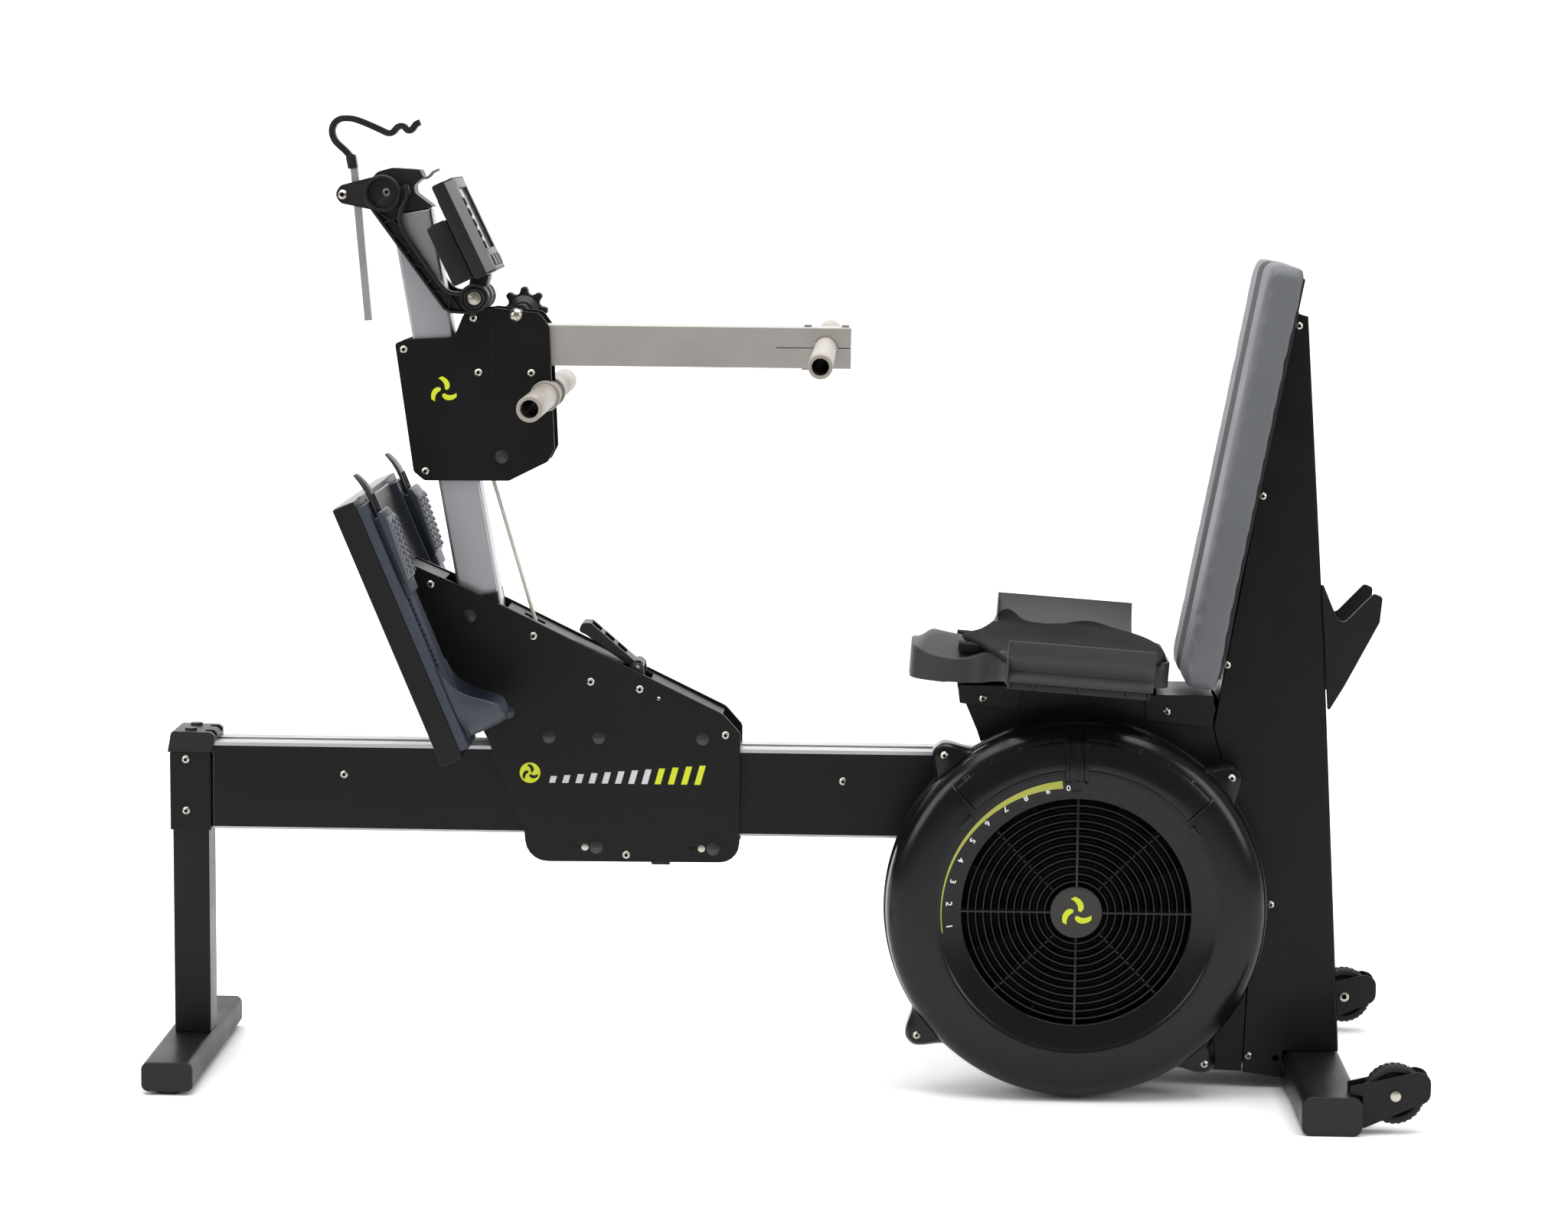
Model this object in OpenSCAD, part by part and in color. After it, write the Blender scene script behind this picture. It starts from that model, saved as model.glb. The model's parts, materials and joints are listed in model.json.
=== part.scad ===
// Seated strength ergometer: rail, moving carriage with mast, handles and footboard,
// fan housing, seat and backrest.
// Frame: +X towards the seat and tower, +Y away from the fan housing side, +Z up,
// millimetres, floor at z = 0.

/* [Rail] */
// Height of the rail's top surface
rail_top = 438; // [400:1:470]
// Half width of the rail flanges
rail_hw = 33; // [28:1:38]
// Left end of the rail
rail_x0 = -755; // [-800:1:-700]
// Right end of the rail
rail_x1 = 560; // [520:1:600]

/* [Carriage] */
// Gap between the carriage plates, half of it
plate_in = 36; // [34:0.5:40]
// Carriage plate thickness
plate_t = 5; // [3:0.5:8]
// Top roller radius
roller_r = 13.4; // [12:0.1:14]
// Bottom roller radius
lower_r = 16.1; // [14:0.1:17]

/* [Mast] */
// Lean of the mast away from the seat, degrees
mast_tilt = 10.1; // [5:0.1:15]
// Mast depth along the rail
mast_w = 53; // [45:1:60]
// Mast width across the rail
mast_d = 46; // [40:1:50]

/* [Handles] */
// Half length of the press handle
press_hl = 400; // [300:5:420]
// Half length of the row handle
row_hl = 262; // [220:2:300]

/* [Housing] */
// Rim radius of the fan housing
house_r = 246; // [230:1:247]
// Height of the fan axis
fan_z = 250; // [248:1:260]
// Place of the fan axis along the rail
fan_x = 381.5; // [370:0.5:395]

/* [Seat] */
// Half width of the seat
seat_hw = 247; // [200:1:260]
// Backward fall of the seat, degrees
seat_tilt = 4; // [0:0.5:8]
// Lean of the backrest, degrees
back_tilt = 10.5; // [5:0.5:15]

/* [Feet] */
// Half length of the front foot
front_hl = 193; // [150:1:250]
// Half length of the rear foot
rear_hl = 301; // [250:1:350]
// Lean of the footboard, degrees
board_tilt = 22.9; // [15:0.1:30]
// Distance of each foot rest from the middle
foot_y = 154; // [120:1:180]

/* [Hidden] */
$fn = 40;
plate_out = plate_in + plate_t;
mast_x = -396.5;
mast_z = 600;
head_in = 26.5;
head_t = 4;
head_out = head_in + head_t;
knob_p = [-353.7, 1002.7];
row_p = [-315, 900];
press_p = [48.5, 965.5];
arm_hub = [-526, 1160];
arm_piv = [-406.7, 1026.5];

function arc(a, p, b, r) = let (
    u = (a - p) / norm(a - p),
    v = (b - p) / norm(b - p),
    g = acos(u * v),
    t = r / tan(g / 2),
    c = p + (u + v) / norm(u + v) * (r / sin(g / 2)),
    s = p + u * t,
    e = p + v * t,
    a0 = atan2(s[1] - c[1], s[0] - c[0]),
    a1 = atan2(e[1] - c[1], e[0] - c[0]),
    d = ((a1 - a0 + 540) % 360) - 180
) [for (i = [0:5]) c + r * [cos(a0 + d * i / 5), sin(a0 + d * i / 5)]];

function q2(p) = [p[0], p[1]];
function rp(p) = [for (i = [0:len(p) - 1])
    each (p[i][2] > 0 ? arc(q2(p[(i + len(p) - 1) % len(p)]), q2(p[i]), q2(p[(i + 1) % len(p)]),
        p[i][2]) : [q2(p[i])])];

// Flat outline in the XZ plane, from y0 to y0 + t
module plate(p, y0, t) {
    translate([0, y0 + t, 0]) rotate([90, 0, 0]) linear_extrude(t) polygon(rp(p));
}
// The same outline on both sides of the middle plane
module plates(p, y0, t) {
    plate(p, y0, t);
    plate(p, -y0 - t, t);
}
// Round bar along Y
module yc(x, y0, z, r, l) {
    translate([x, y0, z]) rotate([-90, 0, 0]) cylinder(r = r, h = l);
}
// Round bar along Y, centred on the middle plane
module ycc(x, z, r, l) {
    yc(x, -l / 2, z, r, l);
}
// Pair of button heads standing on faces at y = +-f
module heads(x, z, f, r, h) {
    yc(x, f, z, r, h);
    yc(x, -f - h, z, r, h);
}
// Box given by its low and high corners
module bx(a, b) {
    translate(a) cube(b - a);
}
// Profile in the YZ plane pushed along X
module along_x(x0, x1) {
    translate([x0, 0, 0]) rotate([90, 0, 90]) linear_extrude(x1 - x0) children();
}
// Rounded rectangle outline
function rr(x0, z0, x1, z1, r) = [[x0, z0, r], [x1, z0, r], [x1, z1, r], [x0, z1, r]];
// Strip of constant thickness through points in XZ
function dirn(v) = v / norm(v);
function side(p, i) = let (
    a = i > 0 ? dirn(p[i] - p[i - 1]) : dirn(p[1] - p[0]),
    b = i < len(p) - 1 ? dirn(p[i + 1] - p[i]) : a,
    m = dirn(a + b)
) [-m[1], m[0]] / (m * a);
module strip(p, t, y0, w) {
    n = len(p) - 1;
    translate([0, y0 + w, 0]) rotate([90, 0, 0]) linear_extrude(w) polygon(concat(
        [for (i = [0:n]) p[i] + side(p, i) * t / 2], [for (i = [0:n]) p[n - i] - side(p, n - i) * t / 2]));
}
// Local frames
module mastf() {
    translate([mast_x, 0, mast_z]) rotate([0, -mast_tilt, 0]) children();
}
module boardf() {
    translate([-487.9, 0, 606.4]) rotate([0, -board_tilt, 0]) children();
}
module seatf() {
    translate([377, 0, 580]) rotate([0, seat_tilt, 0]) children();
}
module backf() {
    translate([588.9, 0, 811.8]) rotate([0, back_tilt, 0]) children();
}
module monf() {
    translate([-416, 0, 1113]) rotate([0, -25.5, 0]) children();
}
// Turned shape about the fan axis: outline in radius and distance towards -Y
module fan_turn(p, a = 360) {
    translate([fan_x, 0, fan_z]) rotate([90, 0, 0]) rotate_extrude(angle = a, $fn = 96) polygon(p);
}

/* ---------- standing frame ---------- */
module front_foot() {
    color([0.05, 0.05, 0.055]) difference() {
        plate(rr(-823.5, 5, -757, 43, 9), -front_hl + 3, 2 * front_hl - 6);
        plate(rr(-820.5, 8, -760, 40, 6), -front_hl, 2 * front_hl);
    }
}
module front_caps() {
    color([0.04, 0.04, 0.045]) for (s = [-1, 1]) {
        plate(rr(-823.5, 5, -757, 43, 9), s > 0 ? front_hl - 3 : -front_hl, 3);
        plate(rr(-820, 8.5, -760.5, 39.5, 5.5), s > 0 ? front_hl - 13 : -front_hl + 3, 10);
    }
}
module front_pads() {
    color([0.03, 0.03, 0.03]) for (s = [-1, 1])
        translate([-790, s * 172, 0]) cylinder(r = 16, h = 5);
}
module front_leg() {
    color([0.05, 0.05, 0.055]) {
        difference() {
            bx([-810, -25, 43], [-762, 25, 320]);
            bx([-806, -21, 43], [-766, 21, 320]);
        }
        difference() {
            bx([-811, -38, 320], [-757, 38, 424]);
            bx([-806, -33, 324], [-757, 33, 420]);
        }
        bx([-757, -24, 332], [-700, 24, 338]);
        bx([-762, -24, 332], [-757, -20, 412]);
        bx([-762, 20, 332], [-757, 24, 412]);
        bx([-806, -4, 324], [-757, 4, 332]);
    }
}
module rail_beam() {
    color([0.72, 0.73, 0.75]) along_x(rail_x0, rail_x1) difference() {
        union() {
            translate([-30, 322]) square([60, rail_top - 322]);
            translate([-rail_hw, rail_top - 5]) square([2 * rail_hw, 5]);
            translate([-rail_hw, 322]) square([2 * rail_hw, 3]);
        }
        translate([-26, 328]) square([52, 98]);
        translate([-4, 420]) square([8, 30]);
        translate([-9, rail_top - 3]) square([18, 10]);
    }
}
module rail_covers() {
    color([0.045, 0.045, 0.05]) for (s = [-1, 1])
        bx([rail_x0 + 1, s > 0 ? 30 : -33, 325.4], [rail_x1 - 20, s > 0 ? 33 : -30, 432.6]);
}
module rail_end_cap() {
    color([0.03, 0.03, 0.03]) difference() {
        union() {
            plate([[-814, 424, 1], [-756, 424, 1], [-752, 438.2, 0], [-752, 447, 3], [-757, 451, 3],
                [-809, 452, 5]], -38, 76);
            for (s = [-1, 1]) translate([-785, s * 21, 450]) cylinder(r = 8, h = 5);
        }
        bx([-766, 14, 443], [-740, 28, 460]);
        bx([-766, -28, 443], [-740, -14, 460]);
        bx([-806, -30, 420], [-752, 30, 438.2]);
        bx([-757.2, -33.1, 420], [-750, 33.1, 438.2]);
    }
}
module rail_bolts() {
    color([0.75, 0.74, 0.7]) {
        for (x = [-580.6, 77.9]) heads(x, 396.9, 33, 5.2, 3);
        for (z = [414.8, 346.2]) heads(-789.6, z, 38, 5.2, 3);
    }
}
module side_panels() {
    color([0.055, 0.055, 0.06]) {
        difference() {
            plates([[228, 528, 2], [252, 472, 2], [300, 330, 20], [283, 200, 30], [330, 60, 30],
                [420, 30, 5], [607.6, 22, 0], [611.6, 134, 0], [596, 330, 2], [559.5, 480, 2], [559.5,
                517, 2], [466, 517, 2], [462, 528, 2]], 56, 4);
            ycc(fan_x, fan_z, 14.1, 200);
        }
        for (p = [[300, 460], [520, 460], [330, 120], [560, 60], [560, 300]]) ycc(p[0], p[1], 7, 112);
        for (x = [290, 530]) for (s = [-1, 1])
            bx([x, s > 0 ? rail_hw : -56, 345], [x + 20, s > 0 ? 56 : -rail_hw, 415]);
    }
}
module tower_panels() {
    color([0.06, 0.06, 0.065]) difference() {
        plates([[652, 1020.5, 1], [668.7, 1015.4, 2], [681.8, 825.8, 0], [699.9, 596.7, 0], [733.4, 50.2,
            0], [661.2, 50.2, 0],
            [661.2, 14, 1], [608.4, 21, 1], [612.6, 134, 0], [597, 330, 2], [560.5, 480, 2], [566, 512,
            2]], 56, 4);
        ycc(652, 40, 4, 200);
    }
}
module tower_spine() {
    color([0.05, 0.05, 0.055]) {
        plate([[664.4, 1014, 0], [668.2, 1014.5, 0], [681.5, 825, 0], [699.4, 596.5, 0], [732.9, 52, 0],
            [728.8, 52, 0],
            [695.4, 596, 0], [677.5, 824.7, 0]], -56, 112);
        plate([[566.5, 514, 0], [570.5, 514, 0], [656.5, 1016, 0], [652.5, 1016.5, 0]], -56, 112);
        plate([[652.5, 1017, 0], [668, 1011, 0], [668, 1007, 0], [653.5, 1012.5, 0]], -56, 112);
        bx([664.5, -56, 50.2], [733, 56, 54]);
    }
}
module tower_bolts() {
    color([0.75, 0.74, 0.7]) {
        for (p = [[657.3, 1003.6], [616.4, 783.3], [575.7, 562.2], [640.1, 246], [615.8, 43]])
            heads(p[0], p[1], 60, 5, 2.8);
        for (s = [-1, 1]) {
            yc(259.5, s > 0 ? 63.3 : -66.3, 514.5, 5.2, 3);
            yc(498.3, s > 0 ? 63.3 : -66.3, 500, 5.2, 3);
        }
    }
}
module storage_hooks() {
    color([0.055, 0.055, 0.06]) plates([[694.3, 678, 2], [715, 629, 6], [724.5, 616, 8], [764, 657.5, 5],
        [775.5, 653, 5],
        [772.5, 619.8, 6], [728.7, 534.8, 3], [708, 499.6, 2], [707.6, 510, 0], [700.6, 596.7, 0]], 49, 6);
}
module hook_rubbers() {
    color([0.03, 0.03, 0.03]) for (s = [-1, 1]) for (p = [[716, 628.5], [726, 621], [757, 650]])
        yc(p[0], s > 0 ? 55 : -57, p[1] - 6, 3, 2);
}
module rear_foot() {
    color([0.05, 0.05, 0.055]) difference() {
        plate(rr(661.5, 0, 737.5, 50, 12), -rear_hl + 3, 2 * rear_hl - 6);
        plate(rr(664.5, 3, 734.5, 47, 9), -rear_hl, 2 * rear_hl);
    }
}
module rear_caps() {
    color([0.04, 0.04, 0.045]) for (s = [-1, 1]) {
        plate(rr(661.5, 0, 737.5, 50, 12), s > 0 ? rear_hl - 3 : -rear_hl, 3);
        plate(rr(665, 3.5, 734, 46.5, 8.5), s > 0 ? rear_hl - 13 : -rear_hl + 3, 10);
    }
}
module caster_forks() {
    color([0.05, 0.05, 0.055]) {
        difference() {
            for (y = [287, 259]) plates([[722, 50.2, 1], [722, 62, 1], [806, 82, 12], [823.4, 78, 14],
                [823.4, 44, 14], [806, 38, 10], [742, 9, 1], [737.8, 9, 0], [737.8, 50.2, 0]], y, 3);
            ycc(779, 51, 4.05, 600);
        }
        for (s = [-1, 1]) bx([737.8, s > 0 ? 262 : -287, 14], [740.4, s > 0 ? 287 : -262, 50]);
        for (s = [-1, 1]) bx([724, s > 0 ? 262 : -287, 50.2], [737, s > 0 ? 287 : -262, 54]);
        for (s = [-1, 1]) yc(816, s > 0 ? 262 : -287, 70, 2, 25);
    }
}
module caster_axles() {
    color([0.7, 0.69, 0.66]) for (s = [-1, 1]) {
        yc(779, s > 0 ? 256 : -290, 51, 4, 34);
        yc(779, s > 0 ? 290 : -294, 51, 7, 4);
        yc(779, s > 0 ? 255 : -259, 51, 7, 4);
    }
}
module wheel_at(y) {
    color([0.06, 0.06, 0.065]) difference() {
        union() {
            yc(779, y - 10, 51, 38.2, 20);
            yc(779, y - 11.8, 51, 12, 23.6);
        }
        yc(779, y - 20, 51, 4.06, 40);
        for (s = [-1, 1]) difference() {
            yc(779, s > 0 ? y + 6 : y - 16, 51, 29, 10);
            yc(779, y - 20, 51, 12, 40);
        }
    }
}
module caster_wheel_near() {
    wheel_at(-274.5);
}
module caster_wheel_far() {
    wheel_at(274.5);
}

/* ---------- seat and backrest ---------- */
module bracket_front() {
    color([0.05, 0.05, 0.055]) {
        plates([[226, 532, 2], [229, 508, 2], [304, 499, 2], [312, 532, 2]], 60.3, 3);
        bx([226, -63.3, 529], [312, 63.3, 532]);
        bx([236, -40, 532], [300, 40, 541]);
    }
}
module bracket_rear() {
    color([0.05, 0.05, 0.055]) {
        plates([[470, 514, 2], [472, 488, 2], [556, 480, 2], [562, 504, 2], [559, 514, 2]], 60.3, 3);
        bx([470, -63.3, 519], [559, 63.3, 522]);
        for (s = [-1, 1]) bx([470, s > 0 ? 60.3 : -63.3, 512], [559, s > 0 ? 63.3 : -60.3, 522]);
        bx([470, -40, 522], [486, 40, 535]);
        bx([440, -40, 532], [486, 40, 535]);
    }
}
// Seat: tray with raised side rails, nose in front, short neck behind
module seat_shell() {
    color([0.09, 0.09, 0.095]) seatf() {
        translate([0, 0, -34]) linear_extrude(24) difference() {
            polygon(rp([[-93, -seat_hw, 4], [92, -seat_hw, 4], [92, -100, 25], [122, -100, 22],
                [122, 100, 22], [92, 100, 25], [92, seat_hw, 4], [-93, seat_hw, 4]]));
            polygon(rp([[-85, -seat_hw + 26, 2], [86, -seat_hw + 26, 2], [86, -96, 2], [116, -92, 16],
                [116, 92, 16], [86, 96, 2], [86, seat_hw - 26, 2], [-85, seat_hw - 26, 2]]));
        }
        translate([0, 0, -12]) linear_extrude(6) polygon(rp([[-93, -seat_hw + 6, 4], [92, -seat_hw + 6, 4],
            [92, -100, 25], [122, -100, 22], [122, 100, 22], [92, 100, 25], [92, seat_hw - 6, 4], [-93,
            seat_hw - 6, 4]]));
        for (s = [-1, 1]) scale([1, s, 1]) translate([-93, 0, 0]) rotate([90, 0, 90]) linear_extrude(185)
            polygon(rp([[196, -8, 0], [226, 0, 14], [238, 29, 3], [seat_hw, 29, 3], [seat_hw, -34, 10],
                [232, -34, 2],
                [232, -12, 0], [196, -12, 0]]));
        for (y = [-150, -50, 50, 150]) bx([-84, y - 2, -34], [85, y + 2, -11]);
        difference() {
            hull() {
                for (s = [-1, 1]) {
                    translate([-192, s * 50, -40]) cylinder(r = 18, h = 32, $fn = 32);
                    translate([-96, s * 56, -40]) cylinder(r = 14, h = 28, $fn = 32);
                }
                translate([-190, 0, 3]) rotate([0, 90, 0]) cylinder(r = 6, h = 12, $fn = 32);
                translate([-96, 0, -12]) rotate([0, 90, 0]) cylinder(r = 6, h = 12, $fn = 32);
            }
            bx([-147, -90, -5.6], [-60, 90, 40]);
        }
    }
}
module seat_pad() {
    color([0.10, 0.10, 0.105]) seatf() translate([0, 0, -5.4]) linear_extrude(5.6) polygon(rp([[-145, 0,
        3], [-90, 175, 12],
        [-60, 190, 20], [-30, 176, 60], [20, 190, 60], [60, 176, 40], [100, 120, 40], [119, 30, 40],
        [119, -30, 40],
        [100, -120, 40], [60, -176, 40], [20, -190, 60], [-30, -176, 60], [-60, -190, 20], [-90, -175,
        12]]));
}
module backrest_board() {
    color([0.06, 0.06, 0.06]) backf() difference() {
        bx([14.3, -112, -262], [22, 112, 262]);
        for (z = [-150, 150]) for (s = [-1, 1]) translate([10, s * 40, z]) rotate([0, 90,
            0]) cylinder(r = 3.2, h = 20);
    }
}
module backrest_cushion() {
    color([0.34, 0.35, 0.37]) backf() difference() {
        union() {
            translate([-13, 0, 0]) rotate([90, 0, 90]) linear_extrude(33) polygon(rp([[-123, -286, 16],
                [123, -286, 16], [123, 280, 16], [-123, 280, 16]]));
            for (s = [-1, 1]) translate([-23, s * 72, 0]) rotate([90, 0, 90]) linear_extrude(11)
                polygon(rp([[-48, -280, 12], [48, -280, 12], [48, 275, 12], [-48, 275, 12]]));
        }
        bx([14, -112.4, -262.4], [30, 112.4, 262.4]);
    }
}
module backrest_brackets() {
    color([0.05, 0.05, 0.055]) backf() for (z = [-150, 150]) bx([22, -55, z - 18], [27.5, 55, z + 18]);
}

/* ---------- fan housing ---------- */
module housing_back() {
    color([0.05, 0.05, 0.055]) {
        fan_turn([[22, 61], [237, 61], [242, 66], [house_r, 104], [house_r + 2.5, 106], [house_r + 2.5,
            112.7], [house_r - 4, 112.7],
            [house_r - 4, 106], [235, 67], [232, 64], [22, 64]]);
        for (i = [0:3]) {
            a = [130.8, 41.6, 219.8, 310.3][i];
            translate([fan_x, 0, fan_z]) rotate([0, -a, 0]) {
                bx([house_r - 2, -113, -19], [262, -92, 19]);
                yc(262, -128, 0, 13, 36);
                bx([238, -113, -12], [262, -105, 12]);
            }
        }
    }
}
module housing_screws() {
    color([0.7, 0.69, 0.66]) for (a = [130.8, 41.6, 219.8, 310.3])
        translate([fan_x, 0, fan_z]) rotate([0, -a, 0]) {
            yc(264, -131, 0, 5.5, 3);
            yc(264, -132, 0, 3, 1);
        }
}
module housing_cover() {
    color([0.05, 0.05, 0.055]) {
        fan_turn([[house_r, 113.3], [house_r, 122], [243, 138], [233, 152], [214, 160], [188, 162], [184,
            160], [152, 149],
            [149, 149], [149, 145], [153, 145], [184, 156], [212, 156], [228, 149], [236.5, 136],
            [house_r - 4, 122], [house_r - 4, 113.3]]);
        for (i = [0:10]) fan_turn([[40 + i * 9.9, 145], [43.2 + i * 9.9, 145], [43.2 + i * 9.9, 149],
            [40 + i * 9.9, 149]]);
        for (a = [0:90:270]) translate([fan_x, 0, fan_z]) rotate([0, a, 0]) bx([30, -148.2, -1.6],
            [150.5, -145, 1.6]);
    }
}
module housing_hub() {
    color([0.07, 0.07, 0.075]) fan_turn([[0, 143], [33.5, 143], [33.5, 148], [32, 151], [0, 152]]);
}
module housing_bosses() {
    color([0.05, 0.05, 0.055]) for (a = [45:90:315]) translate([fan_x, 0, fan_z]) rotate([0, a,
        0]) yc(225, -61, 0, 8, 0.7);
}
module damper_ring() {
    color([0.045, 0.045, 0.05]) {
        translate([fan_x, 0, fan_z]) rotate([0, -40, 0]) rotate([90, 0, 0]) rotate_extrude(angle = 95,
            $fn = 96)
            polygon([[190, 162.6], [214.6, 160.6], [232, 152.6], [233.5, 155], [215.5, 163.6], [190,
                165.4]]);
        translate([fan_x, 0, fan_z]) rotate([0, -91, 0]) {
            bx([172, -172, -15], [226, -162.4, 15]);
            bx([160, -169, -9], [176, -163, 9]);
        }
    }
}
module flywheel() {
    color([0.45, 0.46, 0.48]) {
        fan_turn([[8, 92], [28, 92], [28, 96], [205, 96], [205, 92], [218, 92], [218, 130], [205, 130],
            [205, 100], [28, 100],
            [28, 128], [8, 128]]);
        for (a = [0:22.5:337.5]) translate([fan_x, 0, fan_z]) rotate([0, a, 0]) bx([60, -132, -1.5],
            [206, -99, 1.5]);
    }
}
module fan_shaft() {
    color([0.6, 0.6, 0.62]) {
        yc(fan_x, -134, fan_z, 8, 194);
        difference() {
            ycc(fan_x, fan_z, 36, 14);
            ycc(fan_x, fan_z, 33, 8);
        }
        ycc(fan_x, fan_z, 33.2, 8.2);
    }
}
module fan_bearings() {
    color([0.5, 0.5, 0.52]) for (s = [-1, 1]) difference() {
        union() {
            yc(fan_x, s > 0 ? 48 : -60.4, fan_z, 14, 12.4);
            yc(fan_x, s > 0 ? 50 : -56, fan_z, 20, 6);
        }
        ycc(fan_x, fan_z, 8.05, 160);
    }
}

/* ---------- carriage ---------- */
function carr() = [[-497, 681, 3], [-429.4, 652.2, 0], [-369.9, 625.2, 0], [-280.6, 581, 0], [-187.6,
    536.5, 0],
    [-79.7, 485, 22], [-57.5, 460, 10], [-57.5, 287.5, 26], [-338, 285.5, 30], [-341.8, 328, 10],
    [-369.8, 393.8, 0],
    [-389, 446.3, 10], [-478.5, 620, 10]];
module carr_plate(s) {
    color([0.055, 0.055, 0.06]) difference() {
        plate(carr(), s > 0 ? plate_in : -plate_out, plate_t);
        for (x = [-273, -120]) {
            bx([x - 4, -60, 301.5], [x + 14, 60, 310]);
        }
        for (x = [-309, -243.5, -106.9]) ycc(x, 451.8, 5.05, 200);
        for (x = [-246.2, -92.4]) ycc(x, 305.5, 5.05, 200);
        ycc(-414.2, 610.6, 5.05, 200);
    }
}
module carriage_plate_near() {
    carr_plate(-1);
}
module carriage_plate_far() {
    carr_plate(1);
}
module carriage_spacers() {
    color([0.5, 0.5, 0.52]) for (p = [[-465, 652], [-330, 585.5], [-254.4, 526], [-190, 517], [-76.8,
        457.5], [-206.7, 296]])
        ycc(p[0], p[1], 6, 2 * plate_in);
}
module carriage_bolts() {
    color([0.75, 0.74, 0.7]) {
        for (p = [[-465, 652], [-330, 585.5], [-254.4, 526], [-190, 517], [-76.8, 457.5], [-206.7, 296]])
            heads(p[0], p[1], plate_out, 5.2, 3);
        heads(-165, 505, plate_out, 2.5, 2);
    }
}
module roller_axles() {
    color([0.06, 0.06, 0.06]) {
        for (x = [-309, -243.5, -106.9]) {
            ycc(x, 451.8, 5, 2 * plate_out);
            heads(x, 451.8, plate_out, 8, 4);
        }
        for (x = [-246.2, -92.4]) {
            ycc(x, 305.5, 5, 2 * plate_out);
            heads(x, 305.5, plate_out, 8, 5);
            heads(x - 14, 305.5, plate_out, 7, 1.6);
        }
        heads(-414.2, 610.6, plate_out, 9, 4);
        ycc(-414.2, 610.6, 5, 2 * plate_out);
        heads(-363, 484, plate_out, 8, 3);
    }
}
module top_roller(x) {
    color([0.12, 0.12, 0.13]) difference() {
        union() {
            for (s = [-1, 1]) yc(x, s > 0 ? 11 : -31, 451.8, roller_r, 20);
            ycc(x, 451.8, 8, 30);
        }
        ycc(x, 451.8, 5.06, 90);
    }
}
module roller_a() {
    top_roller(-309);
}
module roller_b() {
    top_roller(-243.5);
}
module roller_c() {
    top_roller(-106.9);
}
module low_roller(x) {
    color([0.12, 0.12, 0.13]) difference() {
        ycc(x, 305.5, lower_r, 64);
        ycc(x, 305.5, 5.06, 90);
    }
}
module roller_d() {
    low_roller(-246.2);
}
module roller_e() {
    low_roller(-92.4);
}
module carriage_cover() {
    color([0.05, 0.05, 0.055]) difference() {
        union() {
            strip([[-494, 676], [-448, 656.5]], 3, -plate_in, 2 * plate_in);
            strip([[-366, 619], [-280.6, 577], [-187.6, 532.5], [-82, 480]], 3, -plate_in, 2 * plate_in);
            bx([-174, -24, 280], [-150, 24, 286.5]);
            bx([-174, 24, 284], [-150, plate_in, 290]);
            bx([-174, -plate_in, 284], [-150, -24, 290]);
        }
        bx([-345, -9, 580], [-318, 9, 640]);
        bx([-212, -21.6, 520], [-176, 21.6, 560]);
        for (y = [-28.3, 22.7]) bx([-209, y, 520], [-177, y + 5.6, 560]);
        mastf() bx([-30, -25, -40], [28, 25, 120]);
    }
}
module mast() {
    color([0.62, 0.64, 0.67]) mastf() difference() {
        translate([0, 0, -8]) linear_extrude(552) polygon(rp([[-mast_w / 2, -mast_d / 2, 4], [mast_w / 2,
            -mast_d / 2, 4],
            [mast_w / 2, mast_d / 2, 4], [-mast_w / 2, mast_d / 2, 4]]));
        translate([0, 0, -9]) linear_extrude(560) square([mast_w - 6, mast_d - 6], center = true);
        translate([-15.57, -50, 13.54]) rotate([-90, 0, 0]) cylinder(r = 5.05, h = 100);
    }
}
module mast_blocks() {
    color([0.05, 0.05, 0.055]) mastf() difference() {
        for (s = [-1, 1]) bx([-24, s > 0 ? 23 : -plate_in, -2], [26, s > 0 ? plate_in : -23, 38]);
        translate([-15.57, -50, 13.54]) rotate([-90, 0, 0]) cylinder(r = 5.05, h = 100);
    }
}
module mast_head() {
    color([0.04, 0.04, 0.045]) {
        difference() {
            union() {
                plate([[-548, 1142, 8], [-552, 1168, 10], [-535, 1188, 12], [-516.5, 1193, 8], [-480,
                    1191, 4], [-475.5, 1181, 2],
                    [-488, 1170, 6], [-486, 1161, 6], [-462.5, 1143, 1], [-470, 1141.3, 0], [-506.5,
                    1135.2, 0], [-520, 1134, 4]], -22, 44);
                plate([[-530, 1184, 4], [-583, 1170, 10], [-592, 1158, 11], [-583, 1146.5, 8], [-540,
                    1138, 4]], -21.5, 43);
            }
            yc(arm_hub[0], -60, arm_hub[1], 17, 50);
            translate([-559, 0, 1094]) rotate([0, -5.14, 0]) bx([-5.2, -6.2, -100], [5.2, 6.2, 150]);
        }
        mastf() translate([0, 0, 520]) linear_extrude(26) square([mast_w - 6.6, mast_d - 6.6],
            center = true);
    }
}
module head_screws() {
    color([0.72, 0.71, 0.68]) {
        heads(-580.4, 1157.9, 22, 6.5, 4);
        yc(-517.7, -22, 1163.6, 6, 12);
        heads(-504, 1113, 23, 3.4, 2);
    }
}
module spring_lip() {
    color([0.4, 0.4, 0.4]) strip([[-486, 1180.5], [-472, 1179.5], [-466, 1187], [-457, 1191]], 2, -9, 18);
}
module holder_bar() {
    color([0.7, 0.71, 0.73]) translate([-559, 0, 1094]) rotate([0, -5.14, 0]) bx([-4.8, -5.8, -100.5],
        [4.8, 5.8, 99]);
}
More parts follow.
